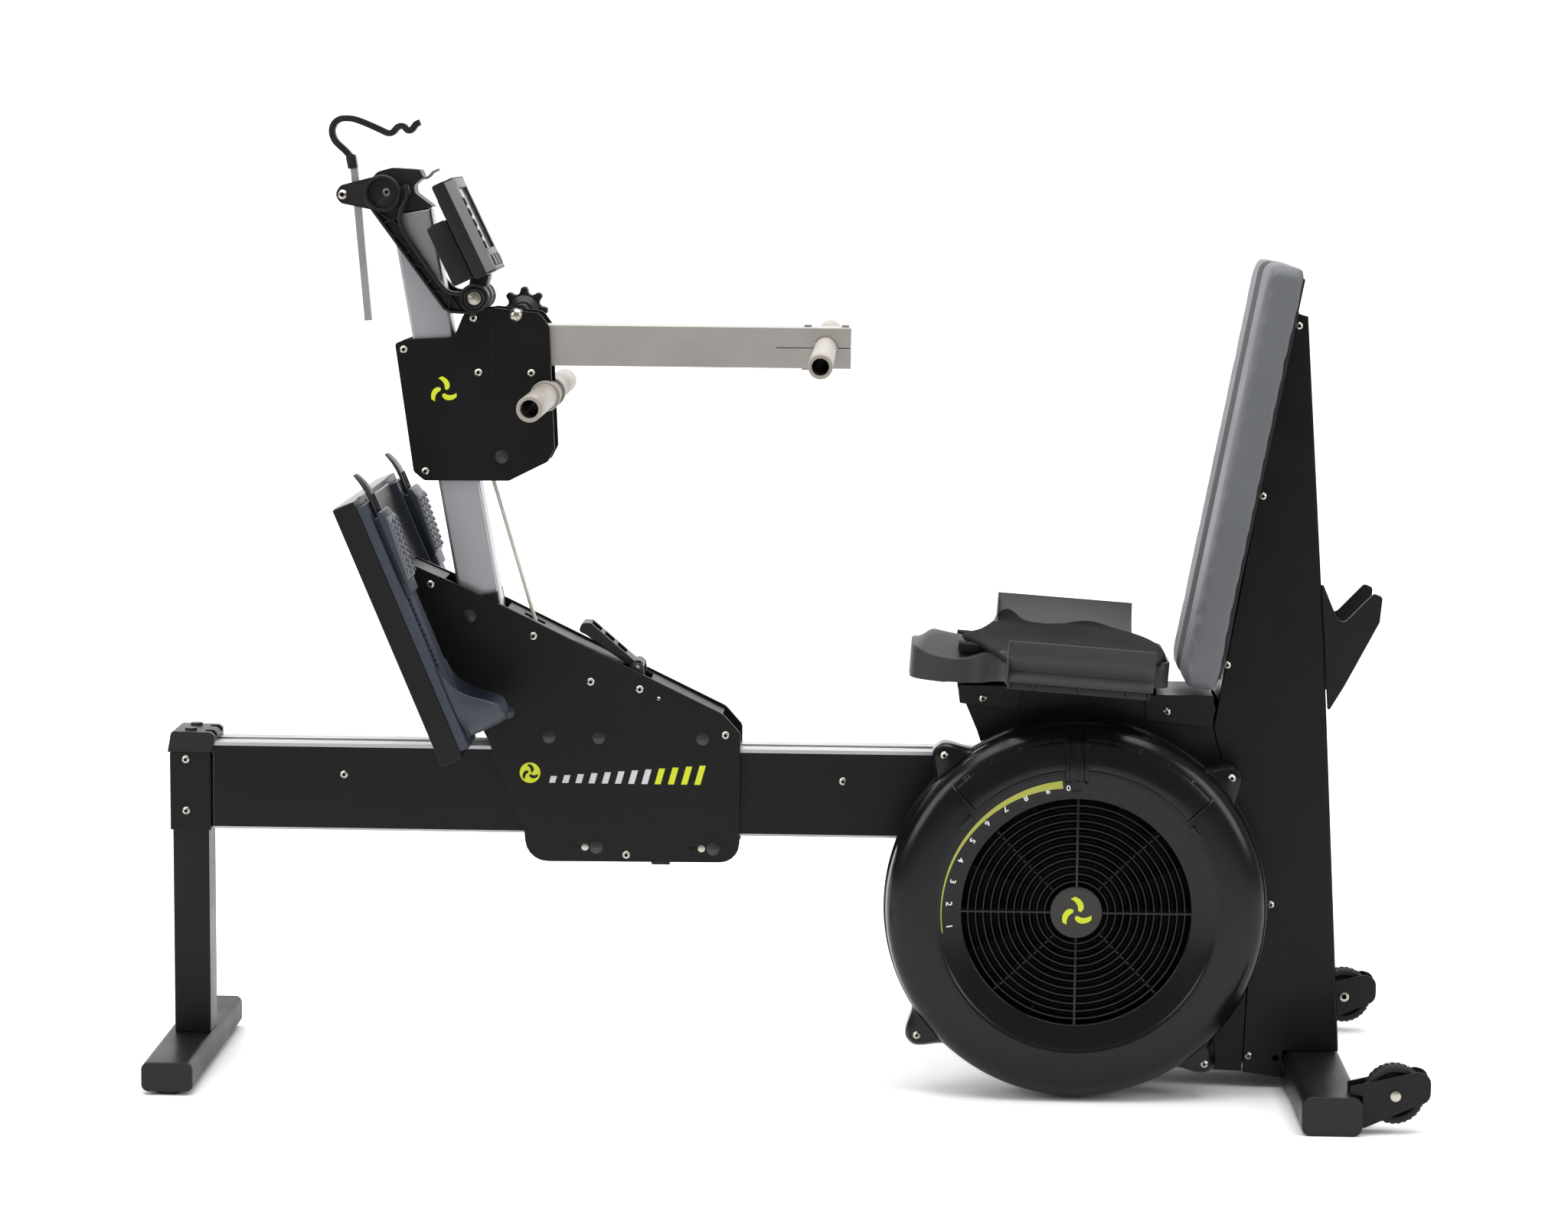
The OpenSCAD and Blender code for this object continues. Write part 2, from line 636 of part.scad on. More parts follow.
module holder_hook() {
    color([0.12, 0.12, 0.125]) strip([[-569, 1194], [-573, 1210], [-590, 1223], [-596, 1238], [-592,
        1250], [-581.8, 1255.5],
        [-568.6, 1255.5], [-547.6, 1247.5], [-523.7, 1237], [-517, 1239], [-509.3, 1246.5], [-502, 1247],
        [-497, 1240.5],
        [-491, 1242.5], [-486, 1250], [-481.7, 1251.5]], 5.5, -6, 12);
}
module monitor_arm() {
    color([0.045, 0.045, 0.05]) {
        for (s = [-1, 1]) difference() {
            union() {
                yc(arm_hub[0], s > 0 ? 32 : -46, arm_hub[1], 24, 14);
                plate([[-549, 1150, 0], [-503.5, 1165, 12], [-503, 1141, 10], [-470, 1086, 20], [-440,
                    1050, 20], [-412, 1043, 0],
                    [-400, 1010, 6], [-440, 1008, 20]], s > 0 ? 32 : -46, 14);
                yc(arm_piv[0], s > 0 ? 32 : -48, arm_piv[1], 19, 16);
            }
            yc(arm_hub[0], s > 0 ? 36 : -60, arm_hub[1], 19, 24);
            plate([[-531, 1137, 4], [-516, 1137, 4], [-441, 1036, 6], [-428, 1034, 4], [-429, 1015, 2],
                [-437, 1015, 12]],
                s > 0 ? 37 : -60, 23);
            ycc(arm_piv[0], arm_piv[1], 5.4, 200);
        }
        for (s = [-1, 1]) yc(arm_hub[0], s > 0 ? 22.3 : -32, arm_hub[1], 12, 9.7);
    }
}
module pivot_bolt() {
    color([0.72, 0.71, 0.68]) {
        ycc(arm_piv[0], arm_piv[1], 5, 100);
        heads(arm_piv[0], arm_piv[1], 48.2, 9, 5);
    }
}
module monitor_case() {
    color([0.05, 0.05, 0.055]) {
        monf() {
            translate([0, -80, 0]) rotate([-90, 0, 0]) linear_extrude(120) polygon(rp([[-14, -70, 5], [9,
                -70, 2], [9, 62, 2], [-14, 62, 3]]));
        }
        difference() {
            union() {
                yc(arm_piv[0], -31.5, arm_piv[1], 10.5, 63);
                plate([[-417, 1029, 0], [-397, 1029, 0], [-392, 1054, 2], [-412, 1062, 2]], -24, 48);
            }
            ycc(arm_piv[0], arm_piv[1], 5.4, 200);
        }
    }
}
module battery_case() {
    color([0.045, 0.045, 0.05]) monf() translate([0, -72, 0]) rotate([-90, 0, 0]) linear_extrude(25)
        polygon(rp([[-44, -26, 3], [-14.3, -26, 0], [-14.3, 60, 0], [-44, 58, 3]]));
}
module monitor_bezel() {
    color([0.5, 0.5, 0.5]) monf() difference() {
        bx([9.3, -79, -61], [16, 39, 69]);
        bx([14.5, -66, -31], [20, 28, 54]);
        for (i = [0:4]) bx([10, -77.5, -31.6 + i * 15.1], [20, -67.5, -19.6 + i * 15.1]);
        for (i = [0:2]) bx([10, -62 + i * 34, -55], [20, -38 + i * 34, -41]);
    }
}
module screen_glass() {
    color([0.25, 0.27, 0.25]) monf() bx([14.5, -66, -31], [15.4, 28, 54]);
}
module side_key(i) {
    color([0.05, 0.05, 0.055]) monf() bx([12.2, -77.1, -31.2 + i * 15.1], [18.6, -67.9, -20 + i * 15.1]);
}
module low_key(i) {
    color([0.08, 0.08, 0.085]) monf() bx([12.2, -61.6 + i * 34, -54.6], [18.2, -38.4 + i * 34, -41.4]);
}
module key_1() {
    side_key(0);
}
module key_2() {
    side_key(1);
}
module key_3() {
    side_key(2);
}
module key_4() {
    side_key(3);
}
module key_5() {
    side_key(4);
}
module menu_key_1() {
    low_key(0);
}
module menu_key_2() {
    low_key(1);
}
module menu_key_3() {
    low_key(2);
}
module footboard() {
    color([0.05, 0.05, 0.055]) {
        boardf() difference() {
            bx([-14.5, -202, -177], [14.5, 202, 177]);
            bx([-16, -188, -163], [-10.5, 188, 163]);
            bx([-20, -39, -190], [20, 39, -146]);
        }
        for (s = [-1, 1]) plate([[-505, 686, 0], [-494, 668, 0], [-470, 605, 0], [-482, 600, 0], [-513,
            672, 0]], s > 0 ? 30 : -36, 6);
    }
}
module board_face() {
    color([0.62, 0.63, 0.65]) boardf() bx([14.8, -100, -140], [17.5, 100, 170]);
}
module foot_bases() {
    color([0.09, 0.10, 0.14]) for (s = [-1, 1]) translate([0, s * foot_y, 0]) boardf()
        difference() {
            bx([14.8, -46, -168], [27, 46, 168]);
            bx([22, -30, -150], [30, 30, 150]);
        }
}
module foot_slide(s) {
    translate([0, s * foot_y, 0]) boardf() {
        color([0.13, 0.15, 0.21]) {
            bx([27.4, -30, -152], [31.5, 30, 150]);
            bx([22.6, -29, -100], [27.4, 29, 60]);
            difference() {
                bx([27.4, -20, 150], [33, 20, 207]);
                for (z = [160:12:196]) bx([20, -11, z], [40, 11, z + 5]);
            }
            difference() {
                union() {
                    translate([0, 42, 0]) rotate([90, 0, 0]) linear_extrude(84) polygon(rp([[27.4, -74,
                        0], [36, -96, 10], [58.5, -118, 12],
                        [82, -139, 5], [82, -150, 4], [57, -161, 12], [27.4, -154, 0]]));
                }
                translate([0, 36, 0]) rotate([90, 0, 0]) linear_extrude(72) polygon([[31.5, -60], [90,
                    -60], [90, -146], [58, -155], [31.5, -149]]);
            }
        }
        color([0.3, 0.31, 0.33]) {
            translate([0, 38, 0]) rotate([90, 0, 0]) linear_extrude(76) polygon([[31.5, 60], [31.5, 150],
                [41, 150], [41, 135]]);
            for (z = [80:12:140]) translate([0, 38, 0]) rotate([90, 0, 0])
                linear_extrude(76) polygon([[32, z], [33 + (z - 60) * 0.12, z], [36.5 + (z - 60) * 0.12,
                    z + 7], [32, z + 7]]);
        }
    }
}
module foot_slide_near() {
    foot_slide(-1);
}
module foot_slide_far() {
    foot_slide(1);
}
module latch_lever() {
    color([0.04, 0.04, 0.045]) difference() {
        union() {
            plate([[-272, 590, 4], [-268, 601, 6], [-256, 601, 6], [-197, 550.5, 6], [-186, 545, 5],
                [-190, 537.5, 5], [-205, 544.5, 6],
                [-262, 585, 6]], -21, 42);
            yc(-194, -21, 545, 7.5, 42);
        }
        for (i = [0:2]) plate([[-258 + i * 17, 590 - i * 13, 0], [-254 + i * 17, 603 - i * 13, 0],
            [-242 + i * 17, 594 - i * 13, 0],
            [-246 + i * 17, 582 - i * 13, 0]], -14, 28);
        ycc(-194, 545, 3.05, 80);
    }
}
module lever_pin() {
    color([0.6, 0.6, 0.62]) {
        ycc(-194, 545, 3, 58);
        for (s = [-1, 1]) plate([[-206, 535, 0], [-180, 531, 0], [-187, 552, 6], [-201, 552, 6]],
            s > 0 ? 23 : -28, 5);
    }
}
module rope() {
    color([0.8, 0.78, 0.72]) translate([-330.5, 0, 600]) rotate([0, -16.7, 0]) translate([0, 0,
        -6]) cylinder(r = 2.8, h = 205, $fn = 16);
}

/* ---------- handle carriage ---------- */
function headp() = [[-512, 966, 5], [-497, 971.7, 8], [-434.8, 975, 14], [-421, 1008.3, 12], [-382.4,
    1013.7, 20], [-323, 1007.5, 12],
    [-310.5, 990, 10], [-308, 929, 0], [-303.4, 831, 8], [-312, 814, 8], [-363, 788.2, 3], [-474, 787.4,
    9], [-488, 799, 8]];
module head_plate(s) {
    color([0.055, 0.055, 0.06]) difference() {
        plate(headp(), s > 0 ? head_in : -head_out, head_t);
        ycc(row_p[0], row_p[1], 16.54, 200);
        ycc(knob_p[0], knob_p[1] + 1.3, 4.55, 200);
        ycc(-372.5, 819.8, 5.05, 200);
    }
}
module head_plate_near() {
    head_plate(-1);
}
module head_plate_far() {
    head_plate(1);
}
module head_spacers() {
    color([0.5, 0.5, 0.52]) for (p = [[-500.5, 958.5], [-409.6, 1000.2], [-403.1, 929.6], [-334.1,
        929.6], [-472.6, 799.6]])
        ycc(p[0], p[1], 5, 2 * head_in);
}
module head_bolts() {
    color([0.75, 0.74, 0.7]) {
        for (p = [[-500.5, 958.5], [-409.6, 1000.2], [-403.1, 929.6], [-334.1, 929.6], [-472.6, 799.6]])
            heads(p[0], p[1], head_out, 5, 2.8);
        yc(knob_p[0], -37, knob_p[1], 9, 6.5);
        ycc(knob_p[0], knob_p[1] + 1.3, 4.5, 2 * head_out);
    }
}
module head_guides() {
    color([0.75, 0.75, 0.74]) mastf() for (z = [212, 340]) for (s = [-1, 1])
        bx([s > 0 ? mast_w / 2 + 0.4 : -mast_w / 2 - 8.4, -head_in, z],
            [s > 0 ? mast_w / 2 + 8.4 : -mast_w / 2 - 0.4, head_in, z + 9]);
}
module rope_sheave() {
    color([0.15, 0.15, 0.15]) {
        ycc(-372.5, 819.8, 12, 14);
        ycc(-372.5, 819.8, 5, 2 * head_out);
        heads(-372.5, 819.8, head_out, 8, 4);
    }
}
module row_handle() {
    color([0.66, 0.64, 0.61]) difference() {
        union() {
            ycc(row_p[0], row_p[1], 16.5, 2 * row_hl);
            for (s = [-1, 1]) yc(row_p[0], s > 0 ? head_out : -head_out - 15, row_p[1], 20, 15);
        }
        ycc(row_p[0], row_p[1], 11.5, 2 * row_hl + 10);
    }
}
module clamp_knob() {
    color([0.04, 0.04, 0.045]) translate([knob_p[0], 0, knob_p[1] + 1.3]) {
        yc(0, head_out + 0.3, 0, 10, 46);
        yc(0, 75, 0, 22, 20);
        for (a = [0:45:315]) rotate([0, a, 0]) yc(24, 75, 0, 7.6, 20);
    }
}
module press_arm() {
    color([0.70, 0.69, 0.66]) difference() {
        bx([-415, -24, 939], [81.5, 24, 992]);
        bx([-420, -21, 942], [90, 21, 989]);
        bx([-16, -30, 964.9], [82, 30, 966.1]);
        ycc(press_p[0], press_p[1], 15.04, 100);
    }
}
module arm_clamp_block() {
    color([0.42, 0.42, 0.43]) difference() {
        bx([26, -20.6, 942.4], [81.2, 20.6, 988.6]);
        bx([60, -30, 964.9], [82, 30, 966.1]);
        ycc(press_p[0], press_p[1], 15.04, 100);
    }
}
module arm_screws() {
    color([0.7, 0.69, 0.66]) {
        for (x = [25.1, 73.8]) translate([x, 0, 992]) cylinder(r = 5, h = 3);
        translate([22, 0, 936]) cylinder(r = 5, h = 3);
    }
}
module press_handle() {
    color([0.66, 0.64, 0.61]) difference() {
        ycc(press_p[0], press_p[1], 15, 2 * press_hl);
        ycc(press_p[0], press_p[1], 10.5, 2 * press_hl + 10);
    }
}

/* ---------- pieces that share a node ---------- */
module foot_caps() {
    front_caps();
    rear_caps();
    front_pads();
}
module frame_bolts() {
    rail_bolts();
    tower_bolts();
    housing_screws();
    caster_axles();
}
module tower_shell() {
    tower_panels();
    tower_spine();
}
module seat_brackets() {
    bracket_front();
    bracket_rear();
}
module backrest_back() {
    backrest_board();
    difference() {
        backrest_brackets();
        plate([[566.3, 512, 0], [652.3, 1017, 0], [720, 1017, 0], [720, 512, 0]], -61, 122);
    }
}
module fan_case() {
    housing_back();
    housing_bosses();
}
module fan_cover() {
    housing_cover();
    housing_hub();
}
module fan_wheel() {
    flywheel();
    fan_shaft();
}
module carriage_plates() {
    carriage_plate_near();
    carriage_plate_far();
}
module carriage_fasteners() {
    carriage_spacers();
    carriage_bolts();
    roller_axles();
    lever_pin();
    head_screws();
}
module carriage_core() {
    carriage_cover();
    mast_blocks();
}
module mast_top() {
    mast_head();
    spring_lip();
}
module monitor_link() {
    monitor_arm();
    pivot_bolt();
}
module monitor_body() {
    monitor_case();
    battery_case();
    screen_glass();
}
module foot_frame() {
    difference() {
        union() {
            footboard();
            board_face();
        }
        plates([[-389.4, 446.1, 0], [-479, 619.8, 0], [-497.6, 681.3, 0], [-420, 700, 0], [-300, 600, 0],
            [-300, 300, 0], [-342.2, 328, 0], [-370.2, 393.7, 0]], 35.8, 5.5);
    }
}
module head_plates() {
    head_plate_near();
    head_plate_far();
}
module head_fasteners() {
    head_spacers();
    head_bolts();
    head_guides();
    rope_sheave();
}
module arm_clamp() {
    arm_clamp_block();
    arm_screws();
}

front_foot();
foot_caps();
front_leg();
rail_beam();
rail_covers();
rail_end_cap();
frame_bolts();
side_panels();
tower_shell();
storage_hooks();
rear_foot();
caster_forks();
caster_wheel_near();
caster_wheel_far();
seat_brackets();
seat_shell();
seat_pad();
backrest_back();
backrest_cushion();
fan_case();
fan_cover();
damper_ring();
fan_wheel();
fan_bearings();
carriage_plates();
carriage_fasteners();
roller_a();
roller_b();
roller_c();
roller_d();
roller_e();
carriage_core();
mast();
mast_top();
holder_bar();
holder_hook();
monitor_link();
monitor_body();
monitor_bezel();
key_1();
key_2();
key_3();
key_4();
key_5();
menu_key_1();
menu_key_2();
menu_key_3();
foot_frame();
foot_bases();
foot_slide_near();
foot_slide_far();
latch_lever();
rope();
head_plates();
head_fasteners();
row_handle();
clamp_knob();
press_arm();
arm_clamp();
press_handle();
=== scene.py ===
import bpy, bmesh
from math import radians, sin, cos, tan, exp, pi, atan2
from mathutils import Vector, Matrix
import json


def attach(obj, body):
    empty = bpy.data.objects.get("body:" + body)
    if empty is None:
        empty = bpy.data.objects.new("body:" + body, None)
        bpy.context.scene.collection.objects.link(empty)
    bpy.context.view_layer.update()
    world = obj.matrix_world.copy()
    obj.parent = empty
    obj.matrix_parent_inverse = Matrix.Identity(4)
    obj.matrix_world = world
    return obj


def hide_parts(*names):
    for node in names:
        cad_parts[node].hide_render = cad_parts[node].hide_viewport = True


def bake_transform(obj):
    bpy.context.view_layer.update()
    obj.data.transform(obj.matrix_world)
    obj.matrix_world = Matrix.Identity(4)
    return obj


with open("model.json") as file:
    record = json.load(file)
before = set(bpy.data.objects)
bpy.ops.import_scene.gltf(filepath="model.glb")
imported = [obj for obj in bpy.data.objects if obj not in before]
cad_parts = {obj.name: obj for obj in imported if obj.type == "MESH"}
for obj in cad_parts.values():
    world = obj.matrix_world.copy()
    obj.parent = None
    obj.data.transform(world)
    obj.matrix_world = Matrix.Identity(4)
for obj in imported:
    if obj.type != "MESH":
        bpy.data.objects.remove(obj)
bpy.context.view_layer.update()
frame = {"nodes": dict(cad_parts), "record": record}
N = frame["nodes"]
BODY = {n: b for b, ns in frame["record"]["behaviour"]["bodies"].items() for n in ns}
SC = bpy.context.scene
mm = 0.001

# ---------------------------------------------------------------- camera
YAW, PITCH, ROLL = -0.02607, -0.12807, 0.0098
EYE, LENS = (0.1276, -5.0, 1.2644), 87.89
fwd = Vector((sin(YAW) * cos(PITCH), cos(YAW) * cos(PITCH), sin(PITCH)))
right = Vector((cos(YAW), -sin(YAW), 0))
up = right.cross(fwd)
r2, u2 = cos(ROLL) * right + sin(ROLL) * up, -sin(ROLL) * right + cos(ROLL) * up
cam = bpy.data.objects.new("camera", bpy.data.cameras.new("camera"))
SC.collection.objects.link(cam)
cam.matrix_world = Matrix.Translation(EYE) @ Matrix((r2, u2, -fwd)).transposed().to_4x4()
cam.data.lens, cam.data.sensor_width, cam.data.sensor_fit = LENS, 36, "HORIZONTAL"
cam.data.clip_end = 60
SC.camera = cam


# ---------------------------------------------------------------- materials
def lin(c):
    """An sRGB colour of 0 to 255 as linear RGBA."""
    return tuple((v / 255 / 12.92 if v <= 10 else ((v / 255 + 0.055) / 1.055) ** 2.4) for v in c) + (1.0,)


def ramp(nt, src, lo, hi, a=0.35, b=0.65):
    """Maps src from a..b to lo..hi."""
    n = nt.nodes.new("ShaderNodeMapRange")
    nt.links.new(src, n.inputs[0])
    for i, v in zip((1, 2, 3, 4), (a, b, lo, hi)):
        n.inputs[i].default_value = v
    return n.outputs[0]


def paint(name, rgb, rough=0.45, metal=0.0, grain=900, bump=0.08, vary=0.12, spec=0.3, stretch=(1, 1, 1),
          rot=(0, 0, 0), rvar=0.06, blotch=9, detail=3):
    """A material with fine grain and a slow blotch in its colour, roughness and bump."""
    m = bpy.data.materials.new(name)
    m.use_nodes = True
    nt = m.node_tree
    p = nt.nodes["Principled BSDF"]
    p.inputs["Metallic"].default_value = metal
    p.inputs["Specular IOR Level"].default_value = spec
    tc = nt.nodes.new("ShaderNodeTexCoord")
    mp = nt.nodes.new("ShaderNodeMapping")
    nt.links.new(tc.outputs["Object"], mp.inputs[0])
    mp.inputs["Rotation"].default_value = [radians(v) for v in rot]
    mp.inputs["Scale"].default_value = stretch
    fine = nt.nodes.new("ShaderNodeTexNoise")
    nt.links.new(mp.outputs[0], fine.inputs["Vector"])
    fine.inputs["Scale"].default_value = grain
    fine.inputs["Detail"].default_value = detail
    big = nt.nodes.new("ShaderNodeTexNoise")
    nt.links.new(tc.outputs["Object"], big.inputs["Vector"])
    big.inputs["Scale"].default_value = blotch
    big.inputs["Detail"].default_value = 6
    mix = nt.nodes.new("ShaderNodeMix")
    mix.data_type = "RGBA"
    L = lin(rgb)
    mix.inputs[6].default_value = tuple(v * (1 - vary) for v in L[:3]) + (1,)
    mix.inputs[7].default_value = tuple(min(1, v * (1 + vary)) for v in L[:3]) + (1,)
    add = nt.nodes.new("ShaderNodeMath")
    add.operation = "ADD"
    nt.links.new(ramp(nt, fine.outputs[0], 0, 0.5), add.inputs[0])
    nt.links.new(ramp(nt, big.outputs[0], 0, 0.5), add.inputs[1])
    nt.links.new(add.outputs[0], mix.inputs[0])
    nt.links.new(mix.outputs[2], p.inputs["Base Color"])
    nt.links.new(ramp(nt, add.outputs[0], rough - rvar, rough + rvar, 0.2, 0.8), p.inputs["Roughness"])
    bp = nt.nodes.new("ShaderNodeBump")
    bp.inputs["Strength"].default_value = bump
    bp.inputs["Distance"].default_value = 0.0004
    nt.links.new(fine.outputs[0], bp.inputs["Height"])
    nt.links.new(bp.outputs[0], p.inputs["Normal"])
    return m


BLACK = paint("powder_coat_black", (20, 19, 19), 0.4, grain=1500, bump=0.10, vary=0.16, spec=0.2)
RAILBLK = paint("powder_coat_rail", (17, 17, 17), 0.36, grain=1300, bump=0.08, vary=0.14, spec=0.17)
SILK = paint("silky_black_steel", (17, 16, 16), 0.34, grain=700, bump=0.12, vary=0.2, spec=0.17, blotch=14)
ALU = paint("satin_aluminium", (172, 174, 177), 0.36, 0.8, grain=260, bump=0.05, vary=0.07, spec=0.5,
            stretch=(9, 9, 0.35), rot=(0, 10.1, 0), blotch=5)
RAILALU = paint("rail_aluminium", (172, 172, 174), 0.34, 0.8, grain=260, bump=0.05, vary=0.06, spec=0.5,
                stretch=(0.35, 9, 9))
ANOD = paint("anodised_arm", (162, 158, 153), 0.4, 0.6, grain=300, bump=0.05, vary=0.05, spec=0.5,
             stretch=(0.3, 8, 8))
ANODT = paint("anodised_handle", (150, 143, 136), 0.46, 0.35, grain=1600, bump=0.10, vary=0.05, spec=0.5)
BLOCK = paint("cast_clamp_block", (128, 126, 124), 0.42, 0.6, grain=900, bump=0.15, vary=0.1, spec=0.5)
ZINC = paint("zinc_plated_bolt", (176, 171, 160), 0.25, 0.95, grain=700, bump=0.06, vary=0.08, spec=0.5)
BLKBOLT = paint("black_oxide_bolt", (46, 46, 48), 0.3, 0.3, grain=900, bump=0.1, vary=0.15, spec=0.5)
PLAST = paint("moulded_black_plastic", (19, 19, 20), 0.4, grain=1100, bump=0.14, vary=0.14, spec=0.3)
HOUSE = paint("housing_gloss_plastic", (11, 11, 11), 0.22, grain=900, bump=0.03, vary=0.12, spec=0.26,
              rvar=0.05)
GRILL = paint("grille_plastic", (15, 15, 16), 0.3, grain=700, bump=0.05, vary=0.12, spec=0.34)
SEATP = paint("seat_shell_plastic", (52, 51, 50), 0.46, grain=1500, bump=0.2, vary=0.08, spec=0.22)
FOOTP = paint("foot_blue_grey_plastic", (44, 49, 60), 0.46, grain=1300, bump=0.16, vary=0.1, spec=0.4)
TOEP = paint("toe_pad_grey", (98, 100, 106), 0.52, grain=1300, bump=0.16, vary=0.08, spec=0.35)
DARKP = paint("dark_tab_plastic", (30, 31, 33), 0.4, grain=1200, bump=0.14, vary=0.1, spec=0.4)
BEZEL = paint("bezel_grey_plastic", (108, 108, 107), 0.5, grain=1400, bump=0.14, vary=0.05, spec=0.35)
RUBBER = paint("tyre_rubber", (27, 27, 28), 0.6, grain=900, bump=0.3, vary=0.2, spec=0.3)
FOAM = paint("seat_foam_black", (22, 21, 21), 0.8, grain=1100, bump=0.35, vary=0.16, spec=0.06, rvar=0.08)
VINYL = paint("cushion_grey_vinyl", (88, 90, 94), 0.5, grain=850, bump=0.42, vary=0.06, spec=0.34, detail=2)
BOARD = paint("backrest_board_black", (24, 24, 25), 0.5, grain=700, bump=0.2, vary=0.2, spec=0.3)
ROPEM = paint("rope_fibre", (196, 192, 182), 0.75, grain=1800, bump=0.5, vary=0.14, spec=0.2)
GLASS = paint("screen_glass", (70, 74, 70), 0.12, grain=60, bump=0.01, vary=0.05, spec=0.5)
LIME = paint("accent_yellow_green", (190, 200, 40), 0.5, grain=1200, bump=0.04, vary=0.05, spec=0.3)
DIAL = paint("dial_stripe_print", (160, 162, 70), 0.5, grain=1200, bump=0.04, vary=0.05, spec=0.3)
WHITE = paint("dial_white_print", (226, 226, 224), 0.5, grain=1500, bump=0.03, vary=0.03, spec=0.3)
GREYP = paint("emblem_grey_print", (188, 190, 190), 0.5, grain=1500, bump=0.03, vary=0.04, spec=0.3)
# near-black paint that stands in for shade: inside the bolt sockets, on the fan wheel behind the grille and
# in the toe-tab slots
PAINTED_SHADE = paint("painted_shade_dark", (9, 9, 9), 0.7, grain=500, bump=0.1, vary=0.2, spec=0.15)
FACE = paint("footboard_face_grey", (150, 151, 152), 0.55, grain=900, bump=0.12, vary=0.06, spec=0.3)


# ---------------------------------------------------------------- axes and frames (x, z), in millimetres
def frm(x, z, deg):
    """The frame of a leaning part: its origin at x, z, turned by deg about Y."""
    return Matrix.Translation((x, 0, z)) @ Matrix.Rotation(radians(deg), 4, "Y")


ROW, PRESS, KNOB, SHEAVE = (-315, 900), (48.5, 965.5), (-353.7, 1005.3), (-372.5, 819.8)
HUB, PIVOT, WHEEL, SIGN = (-526, 1160), (-406.7, 1026.5), (779, 51), (-334, 404)
PLATE, CHEEK = 41, 30.5  # outer faces of the carriage plates and of the head plates
MAST, BRD = frm(-396.5, 600, -10.1), frm(-487.9, 606.4, -22.9)
SEAT, BACK, MON = frm(377, 580, 4), frm(588.9, 811.8, 10.5), frm(-416, 1113, -25.5)


def rp(pts, n=6):
    """A polygon with rounded corners: each vertex is (x, z, radius)."""
    out = []
    for i, (x, z, r) in enumerate(pts):
        p, a, b = Vector((x, z)), Vector(pts[i - 1][:2]), Vector(pts[(i + 1) % len(pts)][:2])
        if r <= 0:
            out.append((x, z))
            continue
        u, v = (a - p).normalized(), (b - p).normalized()
        h = u.angle(v) / 2
        d = min(r / tan(h), 0.49 * min((a - p).length, (b - p).length))
        rr, c = d * tan(h), p + (u + v).normalized() * (d / cos(h))
        s, e = p + u * d - c, p + v * d - c
        a0, a1 = atan2(s.y, s.x), atan2(e.y, e.x)
        da = (a1 - a0 + pi) % (2 * pi) - pi
        out += [(c.x + rr * cos(a0 + da * k / n), c.y + rr * sin(a0 + da * k / n)) for k in range(n + 1)]
    return out


def loft(rings, m):
    """Faces between rings of m points each, one ring after the other."""
    return [(i * m + j, i * m + (j + 1) % m, (i + 1) * m + (j + 1) % m, (i + 1) * m + j)
            for i in range(rings - 1) for j in range(m)]


def new_object(name, data):
    o = bpy.data.objects.new(name, data)
    SC.collection.objects.link(o)
    return o


def evaluated(o):
    """A new mesh of o with its modifiers applied."""
    return bpy.data.meshes.new_from_object(o.evaluated_get(bpy.context.evaluated_depsgraph_get()))


